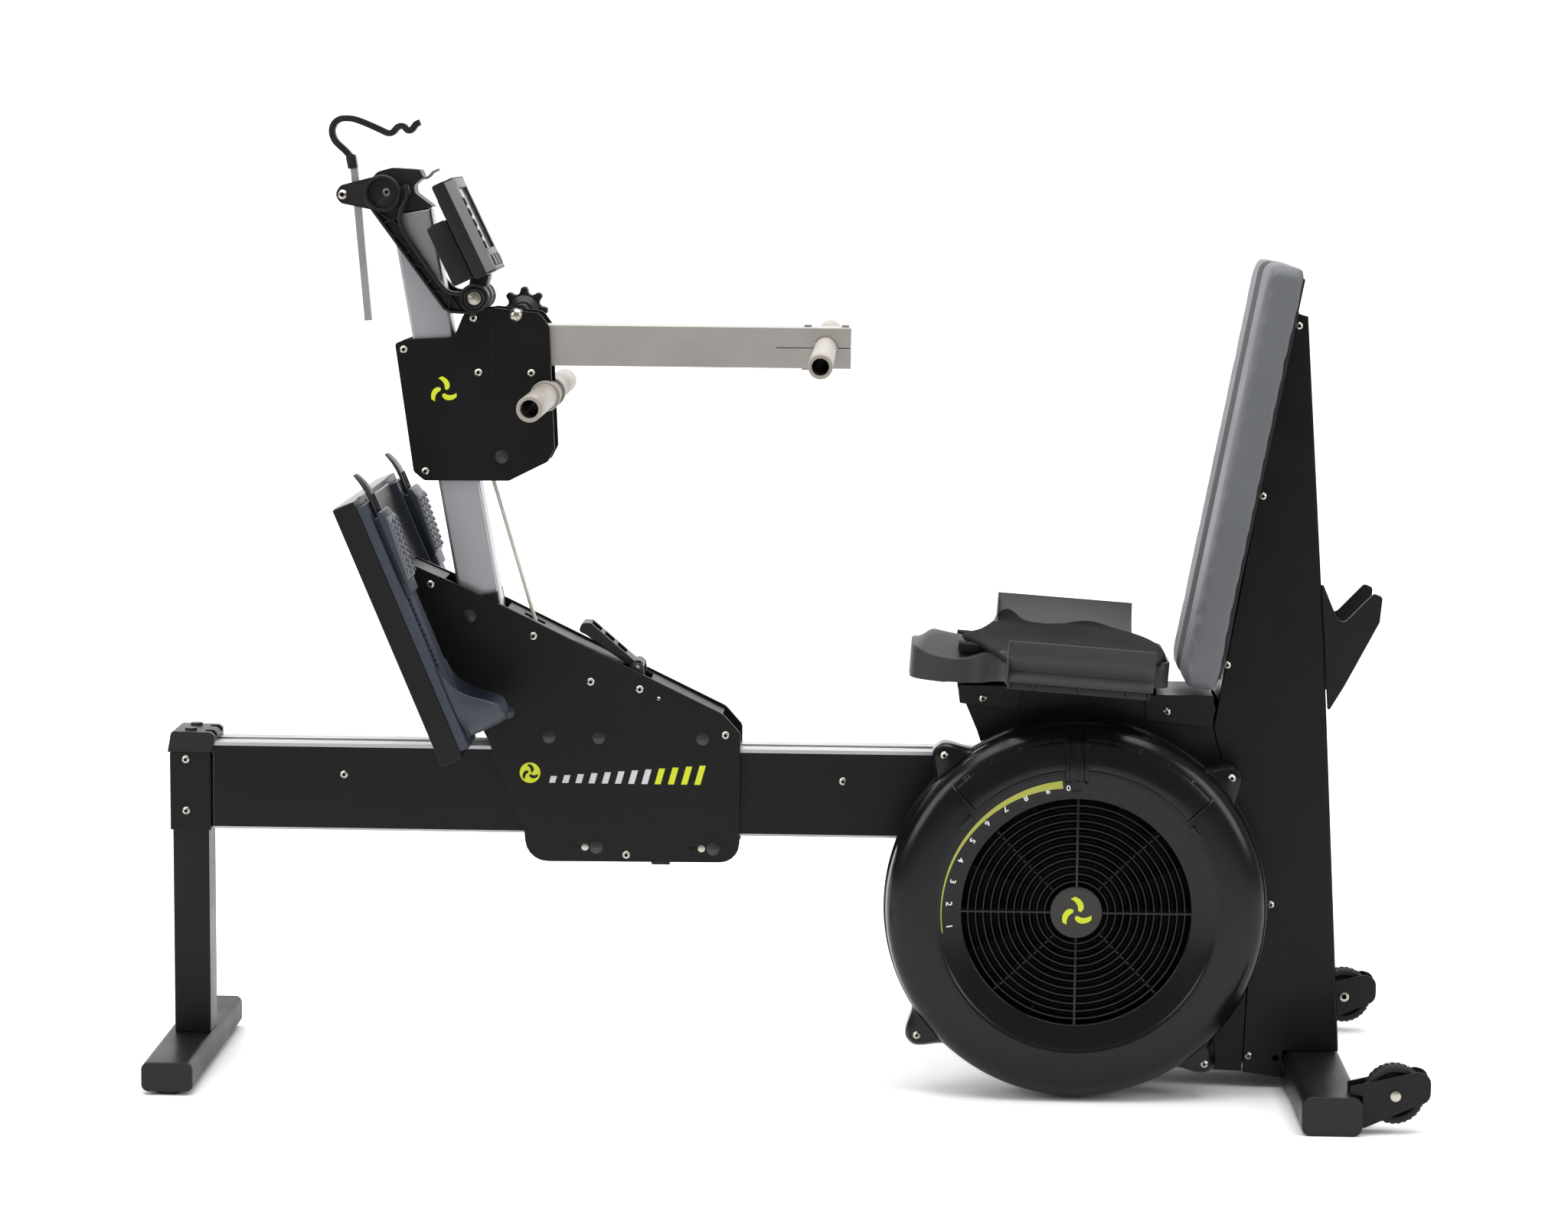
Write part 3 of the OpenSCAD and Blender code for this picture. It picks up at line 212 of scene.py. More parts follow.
class Sh:
    """Collects solids in one mesh, in millimetres, in the frame T."""

    def __init__(s, T=None):
        s.bm, s.mats, s.m, s.T = bmesh.new(), [], 0, T or Matrix()

    def mat(s, m):
        if m not in s.mats:
            s.mats.append(m)
        s.m = s.mats.index(m)
        return s

    def add(s, verts, faces, bev=0, seg=2, ang=30):
        b = bmesh.new()
        vs = [b.verts.new(v) for v in verts]
        for f in faces:
            try:
                b.faces.new([vs[i] for i in f])
            except ValueError:
                pass
        bmesh.ops.recalc_face_normals(b, faces=b.faces)
        if bev:
            es = [e for e in b.edges if len(e.link_faces) == 2 and e.calc_face_angle(0) > radians(ang)]
            bmesh.ops.bevel(b, geom=es, offset=bev, segments=seg, profile=0.5, affect="EDGES",
                            clamp_overlap=True)
        me = bpy.data.meshes.new("t")
        for f in b.faces:
            f.material_index = s.m
        b.to_mesh(me)
        b.free()
        me.transform(s.T)
        s.bm.from_mesh(me)
        bpy.data.meshes.remove(me)
        return s

    def prism(s, pts, y0, y1, bev=0.8, seg=2):
        n = len(pts)
        v = [(x, y0, z) for x, z in pts] + [(x, y1, z) for x, z in pts]
        f = [tuple(range(n)), tuple(range(2 * n - 1, n - 1, -1))]
        f += [(i, (i + 1) % n, n + (i + 1) % n, n + i) for i in range(n)]
        return s.add(v, f, bev, seg)

    def box(s, lo, hi, bev=0.8, seg=2):
        return s.prism([(lo[0], lo[2]), (hi[0], lo[2]), (hi[0], hi[2]), (lo[0], hi[2])], lo[1], hi[1], bev,
                       seg)

    def rev(s, prof, cx=0, cz=0, n=48, a0=0, a1=360, bev=0):
        """Turns the (radius, y) profile about the Y line through cx, cz."""
        full, k = abs(a1 - a0) >= 359.9, len(prof)
        m = n if full else n + 1
        v, f, ring = [], [], []
        for r, y in prof:
            if r < 1e-6:
                ring.append([len(v)] * m)
                v.append((cx, y, cz))
            else:
                ring.append(list(range(len(v), len(v) + m)))
                for i in range(m):
                    a = radians(a0 + (a1 - a0) * i / n)
                    v.append((cx + r * cos(a), y, cz + r * sin(a)))
        closed = prof[0] != prof[-1] and prof[0][0] > 1e-6
        for j in range(k if closed else k - 1):
            p, q = ring[j], ring[(j + 1) % k]
            for i in range(n):
                c = [p[i], p[(i + 1) % m], q[(i + 1) % m], q[i]]
                c = [x for t, x in enumerate(c) if x not in c[:t]]
                if len(c) > 2:
                    f.append(tuple(c))
        if not full and closed:
            f += [tuple(r[0] for r in ring), tuple(r[-1] for r in reversed(ring))]
        return s.add(v, f, bev)

    def rod(s, x, z, y0, y1, r, bev=0.6, n=32):
        """A round bar with eased ends, from y0 to y1."""
        b = min(bev, r * 0.4, abs(y1 - y0) * 0.4)
        e = b if y1 > y0 else -b
        return s.rev([(0, y0), (r - b, y0), (r - 0.3 * b, y0 + 0.3 * e), (r, y0 + e), (r, y1 - e),
                      (r - 0.3 * b, y1 - 0.3 * e), (r - b, y1), (0, y1)], x, z, n)

    def tube(s, path, r, n):
        """A round cord of radius r along the path."""
        path = [Vector(p) for p in path]
        v, k = [], len(path)
        up0 = Vector((0, 1, 0))
        for i, p in enumerate(path):
            t = (path[min(i + 1, k - 1)] - path[max(i - 1, 0)]).normalized()
            if abs(t.dot(up0)) > 0.95:
                up0 = Vector((1, 0, 0))
            u = (up0 - t * up0.dot(t)).normalized()
            w = t.cross(u)
            up0 = u
            v += [p + r * (cos(2 * pi * j / n) * u + sin(2 * pi * j / n) * w) for j in range(n)]
        f = loft(k, n) + [tuple(range(n)), tuple(range((k - 1) * n, k * n))]
        return s.add([tuple(p) for p in v], f)

    def button(s, x, z, y, r, h, out=-1):
        """A button head whose seat is at y, standing out by h along out, with a hex socket."""
        hx, top, m = r * 0.44, y + out * h * 0.97, 24
        pr = [(r, 0), (r, h * 0.25)]
        pr += [(r * cos(radians(a)) * 0.98, h * (0.25 + 0.675 * sin(radians(a)))) for a in (15, 32, 48)]
        s.rev([(q, y + out * t) for q, t in pr] + [(hx * 1.15, top), (hx * 1.1, top)], x, z, m)
        v, f = [], loft(4, m)
        for j, (q, t) in enumerate(((hx * 1.15, h * 0.97), (hx, h * 0.95), (hx, h * 0.3), (0, h * 0.3))):
            for i in range(m):
                a = 2 * pi * i / m
                k = 1 if j == 0 else cos(pi / 6) / cos((a % (pi / 3)) - pi / 6)
                v.append((x + q * k * cos(a), y + out * t, z + q * k * sin(a)))
        s.add(v, f[:m])
        keep = s.m
        # the socket's walls and floor are painted near-black: painted shade in the recess
        s.mat(PAINTED_SHADE).add(v, f[m:])
        s.m = keep
        return s

    def hexhead(s, x, z, y, r, h, out=-1):
        """A hex head on its washer, standing out from y."""
        s.rod(x, z, y, y + out * h * 0.22, r * 1.28, 0.4)
        pts = [(x + r * cos(pi / 6 + i * pi / 3), z + r * sin(pi / 6 + i * pi / 3)) for i in range(6)]
        return s.prism(pts, y + out * h * 0.2, y + out * h, 0.7)

    def done(s, name, body, slot=None, rep=(), angle=32):
        """Makes the object, in metres, and says what it rides on and replaces."""
        me = bpy.data.meshes.new(name)
        bmesh.ops.recalc_face_normals(s.bm, faces=s.bm.faces)
        s.bm.to_mesh(me)
        s.bm.free()
        me.transform(Matrix.Scale(mm, 4))
        for m in s.mats:
            me.materials.append(m)
        o = new_object(name, me)
        me.shade_smooth()
        me.set_sharp_from_angle(angle=radians(angle))
        finish(o, body, rep)
        return o


def finish(o, body, rep=()):
    if body:
        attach(o, body)
    if rep:
        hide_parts(*rep)


def edged(node, mat, w, seg):
    """A copy of a CAD node with its edges rounded as on the real part."""
    me = N[node].data.copy()
    b = bmesh.new()
    b.from_mesh(me)
    bmesh.ops.remove_doubles(b, verts=b.verts, dist=2e-5)
    bmesh.ops.dissolve_limit(b, angle_limit=radians(1.2), verts=b.verts, edges=b.edges)
    b.to_mesh(me)
    b.free()
    me.materials.clear()
    me.materials.append(mat)
    o = new_object(node + "_edged", me)
    me.shade_smooth()
    me.set_sharp_from_angle(angle=radians(30))
    md = o.modifiers.new("edge", "BEVEL")
    md.width, md.segments, md.limit_method, md.angle_limit = w * mm, seg, "ANGLE", radians(35)
    md.use_clamp_overlap, md.harden_normals = False, True
    finish(o, BODY[node], (node,))
    return o


def plain(node, mat):
    """Keeps a CAD node's own mesh and only gives it a material."""
    me = N[node].data
    if me.materials:
        for i in range(len(me.materials)):
            me.materials[i] = mat
    else:
        me.materials.append(mat)


# ---------------------------------------------------------------- rope
ROPE_START, ROPE_LEAN, ROPE_LEN = Vector((-330.5, 0, 600)), radians(16.7), 205.0
STRANDS, LAY, STRAND_OFF, STRAND_R = 3, 11.0, 1.3, 1.5  # one turn of the laid strands takes LAY
along = Vector((-sin(ROPE_LEAN), 0, cos(ROPE_LEAN)))
rope = Sh().mat(ROPEM)
side = Vector((0, 1, 0))
ahead = along.cross(side)
for k in range(STRANDS):
    pts = []
    for i in range(171):
        t = ROPE_LEN * i / 170
        a = 2 * pi * (t / LAY + k / STRANDS)
        pts.append(ROPE_START + along * t + STRAND_OFF * (cos(a) * side + sin(a) * ahead))
    rope.tube(pts, STRAND_R, 7)
ROPE = rope.done("rope_laid", None, "rope_fibre", ("rope",), 60)
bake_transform(ROPE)

# ---------------------------------------------------------------- hard pieces kept from the CAD shape
for node, mat, w, slot in (
        ("front_foot", BLACK, 1.5, "black_steel"), ("foot_caps", PLAST, 1.2, "black_plastic"),
        ("front_leg", RAILBLK, 1.5, "black_steel"), ("rail_beam", RAILALU, 0.4, "aluminium"),
        ("rail_covers", RAILBLK, 0.6, "black_steel"), ("rail_end_cap", PLAST, 1.2, "black_plastic"),
        ("side_panels", SILK, 0.7, "black_steel"), ("tower_shell", SILK, 1.0, "black_steel"),
        ("storage_hooks", BLACK, 1.0, "black_steel"), ("rear_foot", BLACK, 1.5, "black_steel"),
        ("caster_forks", BLACK, 1.0, "black_steel"), ("seat_brackets", BLACK, 0.7, "black_steel"),
        ("backrest_back", BOARD, 0.8, "board"), ("carriage_plates", RAILBLK, 0.6, "black_steel"),
        ("carriage_core", BLACK, 0.4, "black_steel"), ("mast", ALU, 1.0, "aluminium"),
        ("mast_top", PLAST, 0.7, "black_plastic"), ("holder_bar", RAILALU, 0.6, "aluminium"),
        ("head_plates", SILK, 0.6, "black_steel"), ("press_arm", ANOD, 0.8, "aluminium"),
        ("arm_clamp", BLOCK, 0.7, "aluminium"), ("latch_lever", PLAST, 1.0, "black_plastic"),
        ("foot_frame", BLACK, 1.2, "black_plastic"),
        ("foot_bases", FOOTP, 0.8, "foot_plastic")):
    edged(node, mat, w, 2)
# the fan wheel behind the grille is painted near-black, as painted shade inside the housing
for node, mat in (("fan_wheel", PAINTED_SHADE), ("fan_bearings", ZINC)):
    plain(node, mat)
for node in N:
    if node.startswith("roller_"):
        plain(node, PLAST)

# ---------------------------------------------------------------- fan housing, cover, damper
FX, FZ = 381.5, 250.0
LUGS = (130.8, 41.6, 219.8, 310.3)


def radial(a):
    """Local x runs outwards at angle a, local y across it, local z out of the cover."""
    turn = Matrix.Rotation(radians(-a), 4, "Y") @ Matrix.Rotation(radians(90), 4, "X")
    return Matrix.Translation((FX, 0, FZ)) @ turn


def fanrev(s, prof, n=120, a0=0, a1=360):
    """Turns a (radius, distance out towards the near side) profile about the fan's axis."""
    return s.rev([(r, -y) for r, y in prof], FX, FZ, n, a0, a1)


def put_text(s, word, M, size, depth):
    """Digits as raised print, placed by M: x runs along the word, z out of the surface."""
    cu = bpy.data.curves.new("digits", "FONT")
    cu.body, cu.size, cu.extrude, cu.offset = word, size, depth, 0.012 * size
    cu.align_x, cu.align_y, cu.resolution_u = "CENTER", "CENTER", 3
    o = new_object("digits", cu)
    bpy.context.view_layer.update()
    me = evaluated(o)
    me.transform(s.T @ M)
    for p in me.polygons:
        p.material_index = s.m
    s.bm.from_mesh(me)
    bpy.data.objects.remove(o)
    bpy.data.meshes.remove(me)


def on_ring(a, r, y, tilt):
    """A frame on the cover at angle a: y points at the hub, z leaves the surface, leant out by tilt."""
    rad = Vector((cos(radians(a)), 0, sin(radians(a))))
    n = (rad * sin(radians(tilt)) + Vector((0, -1, 0)) * cos(radians(tilt))).normalized()
    u = (-rad + n * rad.dot(n)).normalized()
    x = u.cross(n)
    M = Matrix((x, u, n)).transposed().to_4x4()
    M.translation = Vector((FX, 0, FZ)) + rad * r + Vector((0, -y, 0))
    return M


def swirl(s, cx, cz, y, r):
    """Generic three-bladed fan sign."""
    for k in range(3):
        a = 20 + 120 * k
        o = [(a - 8 + 84 * i / 14, r * (0.24 + 0.76 * (i / 14) ** 0.75)) for i in range(15)]
        b = [(a + 40 + 52 * (1 - i / 14), r * (0.2 + 0.72 * (1 - i / 14) ** 1.15)) for i in range(15)]
        pts = [(cx + q * cos(radians(p)), cz + q * sin(radians(p))) for p, q in o + b]
        s.prism(pts, y, y - 0.5, 0)
    return s


edged("fan_case", HOUSE, 0.6, 2)
c = Sh().mat(HOUSE)
fanrev(c, [(246, 113.3), (247.6, 114), (248.2, 117), (246.6, 119.2), (245.6, 120.4), (245.4, 132),
           (243.8, 140.5), (240, 148), (234, 153.8), (226, 157.8), (215, 160.2), (202, 161.4), (192, 161.9),
           (184, 162.1), (181, 161.9), (179.2, 161.1), (178, 159.9), (176, 159.1), (151, 149.9),
           (149.4, 149.5), (148.2, 148.7), (147.6, 147), (147.6, 144), (150, 143.4), (178, 154), (184, 156),
           (212, 155.4), (229, 149), (239, 137), (242, 122), (242, 113.3)], 144)
c.mat(GRILL)
for i in range(11):
    r = 39.5 + 9.9 * i
    fanrev(c, [(r, 144.4), (r, 148), (r + 0.6, 148.9), (r + 1.8, 148.9), (r + 2.4, 148), (r + 2.4, 144.4)],
           120)
    if i < 10:
        fanrev(c, [(r + 5, 141.5), (r + 5, 146.4), (r + 5.6, 147), (r + 6.2, 146.4), (r + 6.2, 141.5)], 120)
for a in (0, 90, 180, 270):
    c.T = radial(a)
    c.box((31, -1.5, 143.5), (149.6, 1.5, 149.2), 0.6)
for a in (45, 135, 225, 315):
    for i in range(11):
        c.T = radial(a + 1.6 - 0.2 * i)
        c.box((41 + 9.9 * i, -0.9, 142.6), (47.5 + 9.9 * i, 0.9, 147), 0.3)
c.T = Matrix()
c.mat(SEATP)
fanrev(c, [(0, 143), (33.5, 143), (33.5, 148.4), (33, 150), (31.6, 150.9), (29.8, 151.2), (29, 150.9),
           (0, 151.6)], 96)
c.mat(LIME)
swirl(c, FX, FZ, -151.1, 21.5)
c.mat(HOUSE)
for a in LUGS:
    c.T = radial(a)
    o = [(238, -48)] + [(240 + 38 * exp(-(abs(t) / 25) ** 2.8), t) for t in range(-46, 47, 3)] + [(238, 48)]
    c.add([(x, y, 96) for x, y in o] + [(x, y, 122) for x, y in o]
          + [(254 + (x - 254) * 0.86, y * 0.8, 128.5) for x, y in o]
          + [(256 + (x - 256) * 0.55, y * 0.4, 131) for x, y in o],
          [tuple(range(len(o)))] + loft(4, len(o)) + [tuple(range(3 * len(o), 4 * len(o)))], 1.2, 3, 25)
    c.box((230, -7, 112), (250, 7, 126), 3, 3)
c.T = Matrix()
c.mat(WHITE)
for k in range(1, 11):
    put_text(c, str(k), on_ring(93.6 + 10.35 * (10 - k), 164.6, 155.1, -20), 11.6, 0.15)
c.mat(DIAL)
v = []
for i in range(61):
    th = 97 + 92 * i / 60
    t = 1.2 + 9.6 * ((189 - th) / 92) ** 1.6
    for r, d in ((174.9, 0.35), (174.9 - t, 0.35), (174.9 - t, -0.6), (174.9, -0.6)):
        y = -(149.9 + (r - 151) * 9.2 / 25 + d)
        v.append((FX + r * cos(radians(th)), y, FZ + r * sin(radians(th))))
c.add(v, loft(61, 4) + [(0, 1, 2, 3), (240, 241, 242, 243)])
c.done("fan_cover_shown", "frame", "housing_plastic", ("fan_cover",), 40)

d = Sh().mat(HOUSE)
arcp = [(186, 163), (186, 164.6), (187.4, 165.4), (196, 165.2), (204, 164.6), (214, 162.8), (223, 159.6),
        (230, 155), (233.4, 151.4), (232.4, 150.2), (229, 153.2), (222, 157.4), (213.4, 160.4),
        (203, 162.2), (190, 162.8)]
fanrev(d, arcp, 84, 42, 134)
for r0, r1, y0 in ((186.6, 188.6, 166.4), (196, 197.4, 166)):
    fanrev(d, [(r0, y0 - 1.8), (r0, y0 - 0.3), (r0 + 0.4, y0), (r1 - 0.4, y0), (r1, y0 - 0.3),
               (r1, y0 - 1.8)], 84, 43, 133.4)
for a, sgn in ((134.6, 1), (41.4, -1)):
    d.T = radial(a)
    d.prism([(186, 161), (186, 166.6), (197, 167), (213, 164.6), (224, 161), (234, 153), (238, 146.5),
             (236, 144), (228, 150), (212, 158)], -1.3, 1.3, 0.5)
    d.T = radial(a + sgn * 6)
    d.prism([(180.4, 158), (180.4, 162.6), (186.8, 165.6), (190.6, 165), (190.6, 158)], -11, 11, 0.8)
d.T = radial(91)
edge = [(171, 158.2), (171, 163), (174, 168), (178, 170.6), (190, 171.4), (212, 169.6), (224, 165.4),
        (234, 157.6), (241, 147), (244, 138), (239.6, 136), (236, 146), (230, 153), (222, 158),
        (211, 161.6), (190, 162.6), (178, 160)]
for y0, y1 in ((-14.6, -9.6), (9.6, 14.6)):
    d.prism(edge, y0, y1, 0.9)
d.prism([(p[0], max(p[1] - 2.6, 136)) for p in edge[2:10]] + edge[10:-1], -10.2, 10.2, 0.3)
d.prism([(x + (0.4 if i < 3 else 0), z) for i, (x, z) in enumerate(edge)], -3.0, 3.0, 0.9)
d.prism([(160, 155.2), (160, 158), (166, 162.4), (176, 166.4), (176, 160)], -6, 6, 0.7)
d.prism([(159, 156.2), (159, 159.2), (166, 164), (176, 168), (176, 160)], -1.6, 1.6, 0.5)
d.T = Matrix()
for a, k in ((99.2, 7), (109.6, 8), (119.5, 9), (129.2, 10), (79.5, 6), (69.9, 5), (59.8, 4), (50.1, 3)):
    put_text(d, str(k), on_ring(a, 226.6, 158.0, 34), 11, 0.5)
d.done("damper_shown", "damper", "housing_plastic", ("damper_ring",), 40)

# ---------------------------------------------------------------- seat shell and pad
FLAT, RISE = 192, 35  # half width of the seat's flat part, height of its side rails


def rim(y):
    """Height of the shell's top across the seat, in the seat's frame."""
    a = abs(y)
    return -6.0 if a < FLAT else -6 + RISE * ((a - FLAT) / 53) ** 2.1


XT = Matrix.Rotation(radians(-90), 4, "Z")
s = Sh().mat(SEATP)
for q in (-1, 1):
    s.T = SEAT @ (XT if q < 0 else Matrix.Scale(-1, 4, Vector((0, 1, 0))) @ XT)
    top = [(y, rim(y)) for y in (188, 196, 204, 212, 219, 225, 231, 236, 240, 242.6, 244.4)]
    out = [(245.2, 29.7), (246.4, 30), (247.4, 29), (249.6, 20), (250.4, 14), (250, 10), (246, 2),
           (239, -6), (238.4, -8.5), (246.4, -17), (249, -21.6), (247.6, -22.6), (232, -23.6), (218, -25),
           (200, -25), (188, -20)]
    s.prism(top + out, -93, 92, 0.5)
    s.mat(PLAST)
    for x in (-88, -58, 0, 60, 88):
        s.prism([(196, -24), (240, -14), (238, -31), (232, -34), (196, -34)], x - 1.2, x + 1.2, 0.4)
    s.prism([(232, -20), (234.4, -20), (234, -33.6), (232, -33.6)], -90, 90, 0.4)
    s.mat(SEATP)
s.T = SEAT @ Matrix.Rotation(radians(90), 4, "X")
deck = rp([(-93, -200, 2), (92, -200, 2), (92, -104, 26), (122, -98, 22), (122, 98, 22), (92, 104, 26),
           (92, 200, 2), (-93, 200, 2)], 8)
s.prism([(x, -y) for x, y in deck], -12, -6.2, 0.6)


def wall(outline, z1, z0, t=3):
    """A thin skirt that follows the outline, top at z1(x, y), bottom at z0(x, y)."""
    n = len(outline)
    v, f = [], []
    for i, (x, y) in enumerate(outline):
        a, b = Vector(outline[i - 1]), Vector(outline[(i + 1) % n])
        d = (b - a).normalized()
        nx, ny = d.y, -d.x
        p, q = (x, y), (x - nx * t, y - ny * t)
        zt, zb = z1(x, y), z0(x, y)
        v += [(p[0], p[1], zb), (p[0], p[1], zt - 1.2), (p[0] - nx * 0.5, p[1] - ny * 0.5, zt - 0.3),
              (p[0] - nx * 1.2, p[1] - ny * 1.2, zt), (q[0], q[1], zt), (q[0], q[1], zb)]
    for i in range(n):
        k = (i + 1) % n
        f += [(6 * i + j, 6 * i + (j + 1) % 6, 6 * k + (j + 1) % 6, 6 * k + j) for j in range(6)]
    return v, f


tail = rp([(84, -118, 8), (92, -104, 26), (123, -99, 24), (123, 99, 24), (92, 104, 26), (84, 118, 8)], 10)
s.T = SEAT
v, f = wall(tail, lambda x, y: -3.0, lambda x, y: -36)
s.add(v, f)

# nose: a horn that falls back from its tip and flares into the rails
half = rp([(-211, 0, 0), (-210, 60, 32), (-160, 76, 80), (-118, 79, 38), (-104, 128, 70), (-93, 200, 60),
           (-93, 249, 2), (-86, 249, 0), (-86, 0, 0)], 12)
half = [p for p in half if p[0] < -87]
ring = [(x, -y) for x, y in reversed(half) if y > 0.01] + half


def ntop(x, y):
    """Height of the nose: a middle ridge and lower sides that rise into the side rails."""
    t = min(1, max(0, (x + 213) / 120))
    side_z = -12.6 - 9.5 * sin(pi * min(1, t * 1.15)) + (8.2 * max(0, t - 0.62) / 0.38)
    u = min(1, max(0, (x + 211) / 30))
    ridge = -12.4 + 17.5 * u * u * (3 - 2 * u) - 17 * max(0, t - 0.22)
    w = min(1, abs(y) / 66) ** 1.5
    z = ridge * (1 - w) + side_z * w
    if abs(y) > 80:
        z = max(z, side_z + (29.5 - side_z) * min(1, (abs(y) - 80) / 168) ** 2.2)
    return z


v, f, R = [], [], 16
n = len(ring)
for j in range(R + 1):
    k = 1 - j / R
    for x, y in ring:
        cx = max(-150, min(-100, x))
        px, py = cx + (x - cx) * (k ** 0.8), y * (k ** 0.8)
        z = ntop(px, py)
        if j == 0:
            z -= 1.6
        elif j == 1:
            px, py = cx + (x - cx) * 0.985, y * 0.985
            z = ntop(px, py) - 0.2
        v.append((px, py, z))
for j in range(R):
    f += [(j * n + i, j * n + i + 1, (j + 1) * n + i + 1, (j + 1) * n + i) for i in range(n - 1)]
base = len(v)
for dz in (0, 1):
    for x, y in ring:
        zt = ntop(x, y) - 1.6
        v.append((x, y, zt if dz == 0 else -55 + 29 * min(1, max(0, (abs(y) - 74) / 150)) ** 0.7))
f += [(base + i, base + i + 1, base + n + i + 1, base + n + i) for i in range(n - 1)]
s.add(v, f)
s.mat(FOAM)
for q in (-1, 1):
    s.T = SEAT @ Matrix.Rotation(radians(90), 4, "X")
    s.prism([(-150, -q * 42), (-100, -q * 44), (-96, -q * 62), (-112, -q * 69), (-150, -q * 70)], -14, -3.4,
            0.8)
s.done("seat_shell_moulded", "frame", "seat_plastic", ("seat_shell",), 40)

# pad: its outline on one side, front to rear, mirrored
far = [(-146, 0), (-137, 30), (-121, 72), (-110, 118), (-100, 172), (-94, 208), (-86, 221), (-76, 223),
       (-66, 214), (-54, 193), (-41, 181), (-26, 181), (-8, 194), (12, 209), (34, 214), (56, 206),
       (76, 182), (96, 146), (109, 108), (117, 68), (120.5, 34), (121.5, 0)]
full = [Vector((x, y, 0)) for x, y in far] + [Vector((x, -y, 0)) for x, y in reversed(far[1:-1])]


def spline(a, b, c, d, t):
    """The point at t between b and c on a smooth curve through a, b, c and d."""
    return 0.5 * (2 * b + (c - a) * t + (2 * a - 5 * b + 4 * c - d) * t * t
                  + (3 * b - a - 3 * c + d) * t ** 3)


def smooth(pts, k=5):
    """A closed smooth line through the points, k steps between two."""
    out, n = [], len(pts)
    for i in range(n):
        a, b, c, d = pts[i - 1], pts[i], pts[(i + 1) % n], pts[(i + 2) % n]
        for j in range(k):
            t = j / k
            out.append(spline(a, b, c, d, t))
    return out


line = smooth(full)
n = len(line)
v = []
prof = [(1.0, 0.3), (1.004, 2.2), (1.0, 4.6), (0.988, 6.1), (0.965, 6.9), (0.9, 7.2), (0.8, 7.2),
        (0.68, 7.0), (0.55, 6.8), (0.42, 6.7), (0.28, 6.6), (0.14, 6.6)]
for k, h in prof:
    for p in line:
        x, y = p.x * k, p.y * k
        dish = 1.6 * exp(-(((x - 10) / 70) ** 2 + ((abs(y) - 62) / 55) ** 2))
        v.append((x, y, rim(y) + h - dish))
m = len(prof)
f = loft(m, n)
v.append((0, 0, rim(0) + 6.5))
f += [((m - 1) * n + i, (m - 1) * n + (i + 1) % n, m * n) for i in range(n)]
v.append((0, 0, rim(0) + 0.3))
f += [((i + 1) % n, i, m * n + 1) for i in range(n)]
p = Sh(SEAT).mat(FOAM)
p.add(v, f)
pad = p.done("seat_pad_foam", "frame", "seat_foam", ("seat_pad",), 60)


# ---------------------------------------------------------------- backrest cushion
PRESSURE, VOXEL = 4.0, 6.0


def puffed(lo, hi, r, mat, name, cap):
    """A rounded block of foam in its cover, blown up by cloth simulation inside a cap, in millimetres."""
    q = Sh(BACK @ Matrix.Rotation(radians(90), 4, "Z")).mat(mat)
    o = rp([(lo[1], lo[2], r), (hi[1], lo[2], r), (hi[1], hi[2], r), (lo[1], hi[2], r)], 6)
    q.prism(o, -lo[0], -hi[0], 3.5, 3)
    me = bpy.data.meshes.new(name)
    q.bm.to_mesh(me)
    q.bm.free()
    me.transform(Matrix.Scale(mm, 4))
    o = new_object(name, me)
    me.materials.append(mat)
    rm = o.modifiers.new("remesh", "REMESH")
    rm.mode, rm.voxel_size = "VOXEL", VOXEL * mm
    me2 = evaluated(o)
    o.modifiers.clear()
    o.data = me2
    rest = [v.co.copy() for v in me2.vertices]
    cl = o.modifiers.new("cloth", "CLOTH")
    st = cl.settings
    st.quality, st.use_pressure, st.uniform_pressure_force = 5, True, PRESSURE
    st.mass, st.tension_stiffness, st.compression_stiffness, st.bending_stiffness = 0.4, 40, 40, 4
    st.effector_weights.gravity = 0
    cl.collision_settings.use_collision = False
    for fnum in range(1, 21):
        SC.frame_set(fnum)
    got = evaluated(o)
    for v, w0, v2 in zip(me2.vertices, rest, got.vertices):
        d = v2.co - w0
        v.co = w0 + (d if d.length < cap * mm else d.normalized() * cap * mm)
    o.modifiers.clear()
    SC.frame_set(1)
    sub = o.modifiers.new("soft", "SUBSURF")
    sub.levels = sub.render_levels = 1
    o.data = evaluated(o)
    o.modifiers.clear()
    o.data.materials.clear()
    o.data.materials.append(mat)
    o.data.shade_smooth()
    return o


def shape(o, T, fn):
    """Moves each vertex of o by fn, which works in the frame T in millimetres."""
    inv = T.inverted()
    for v in o.data.vertices:
        v.co = (T @ fn(inv @ (v.co / mm))) * mm


def spine_groove(p):
    """A flat channel runs down the middle of the front, and the front edges are eased."""
    q = p.copy()
    if p.x < 0:
        a = abs(p.y)
        t = min(1, max(0, (31 - a) / 9))
        q.x = max(p.x, -25 + 12.5 * t * t * (3 - 2 * t))
        k = max(0, -13.5 - p.x) * 0.55
        q.y = max(-125.4 + k, min(125.4 - k, p.y))
        k = max(0, -8 - p.x) * 0.9
        q.z = max(-288 + k, min(282 - 0.5 * k, p.z))
    return q


cush = puffed((-21, -121, -284), (18.4, 121, 278), 17, VINYL, "cushion_body", 4.2)
shape(cush, BACK, spine_groove)
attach(cush, "frame")
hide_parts("backrest_cushion")

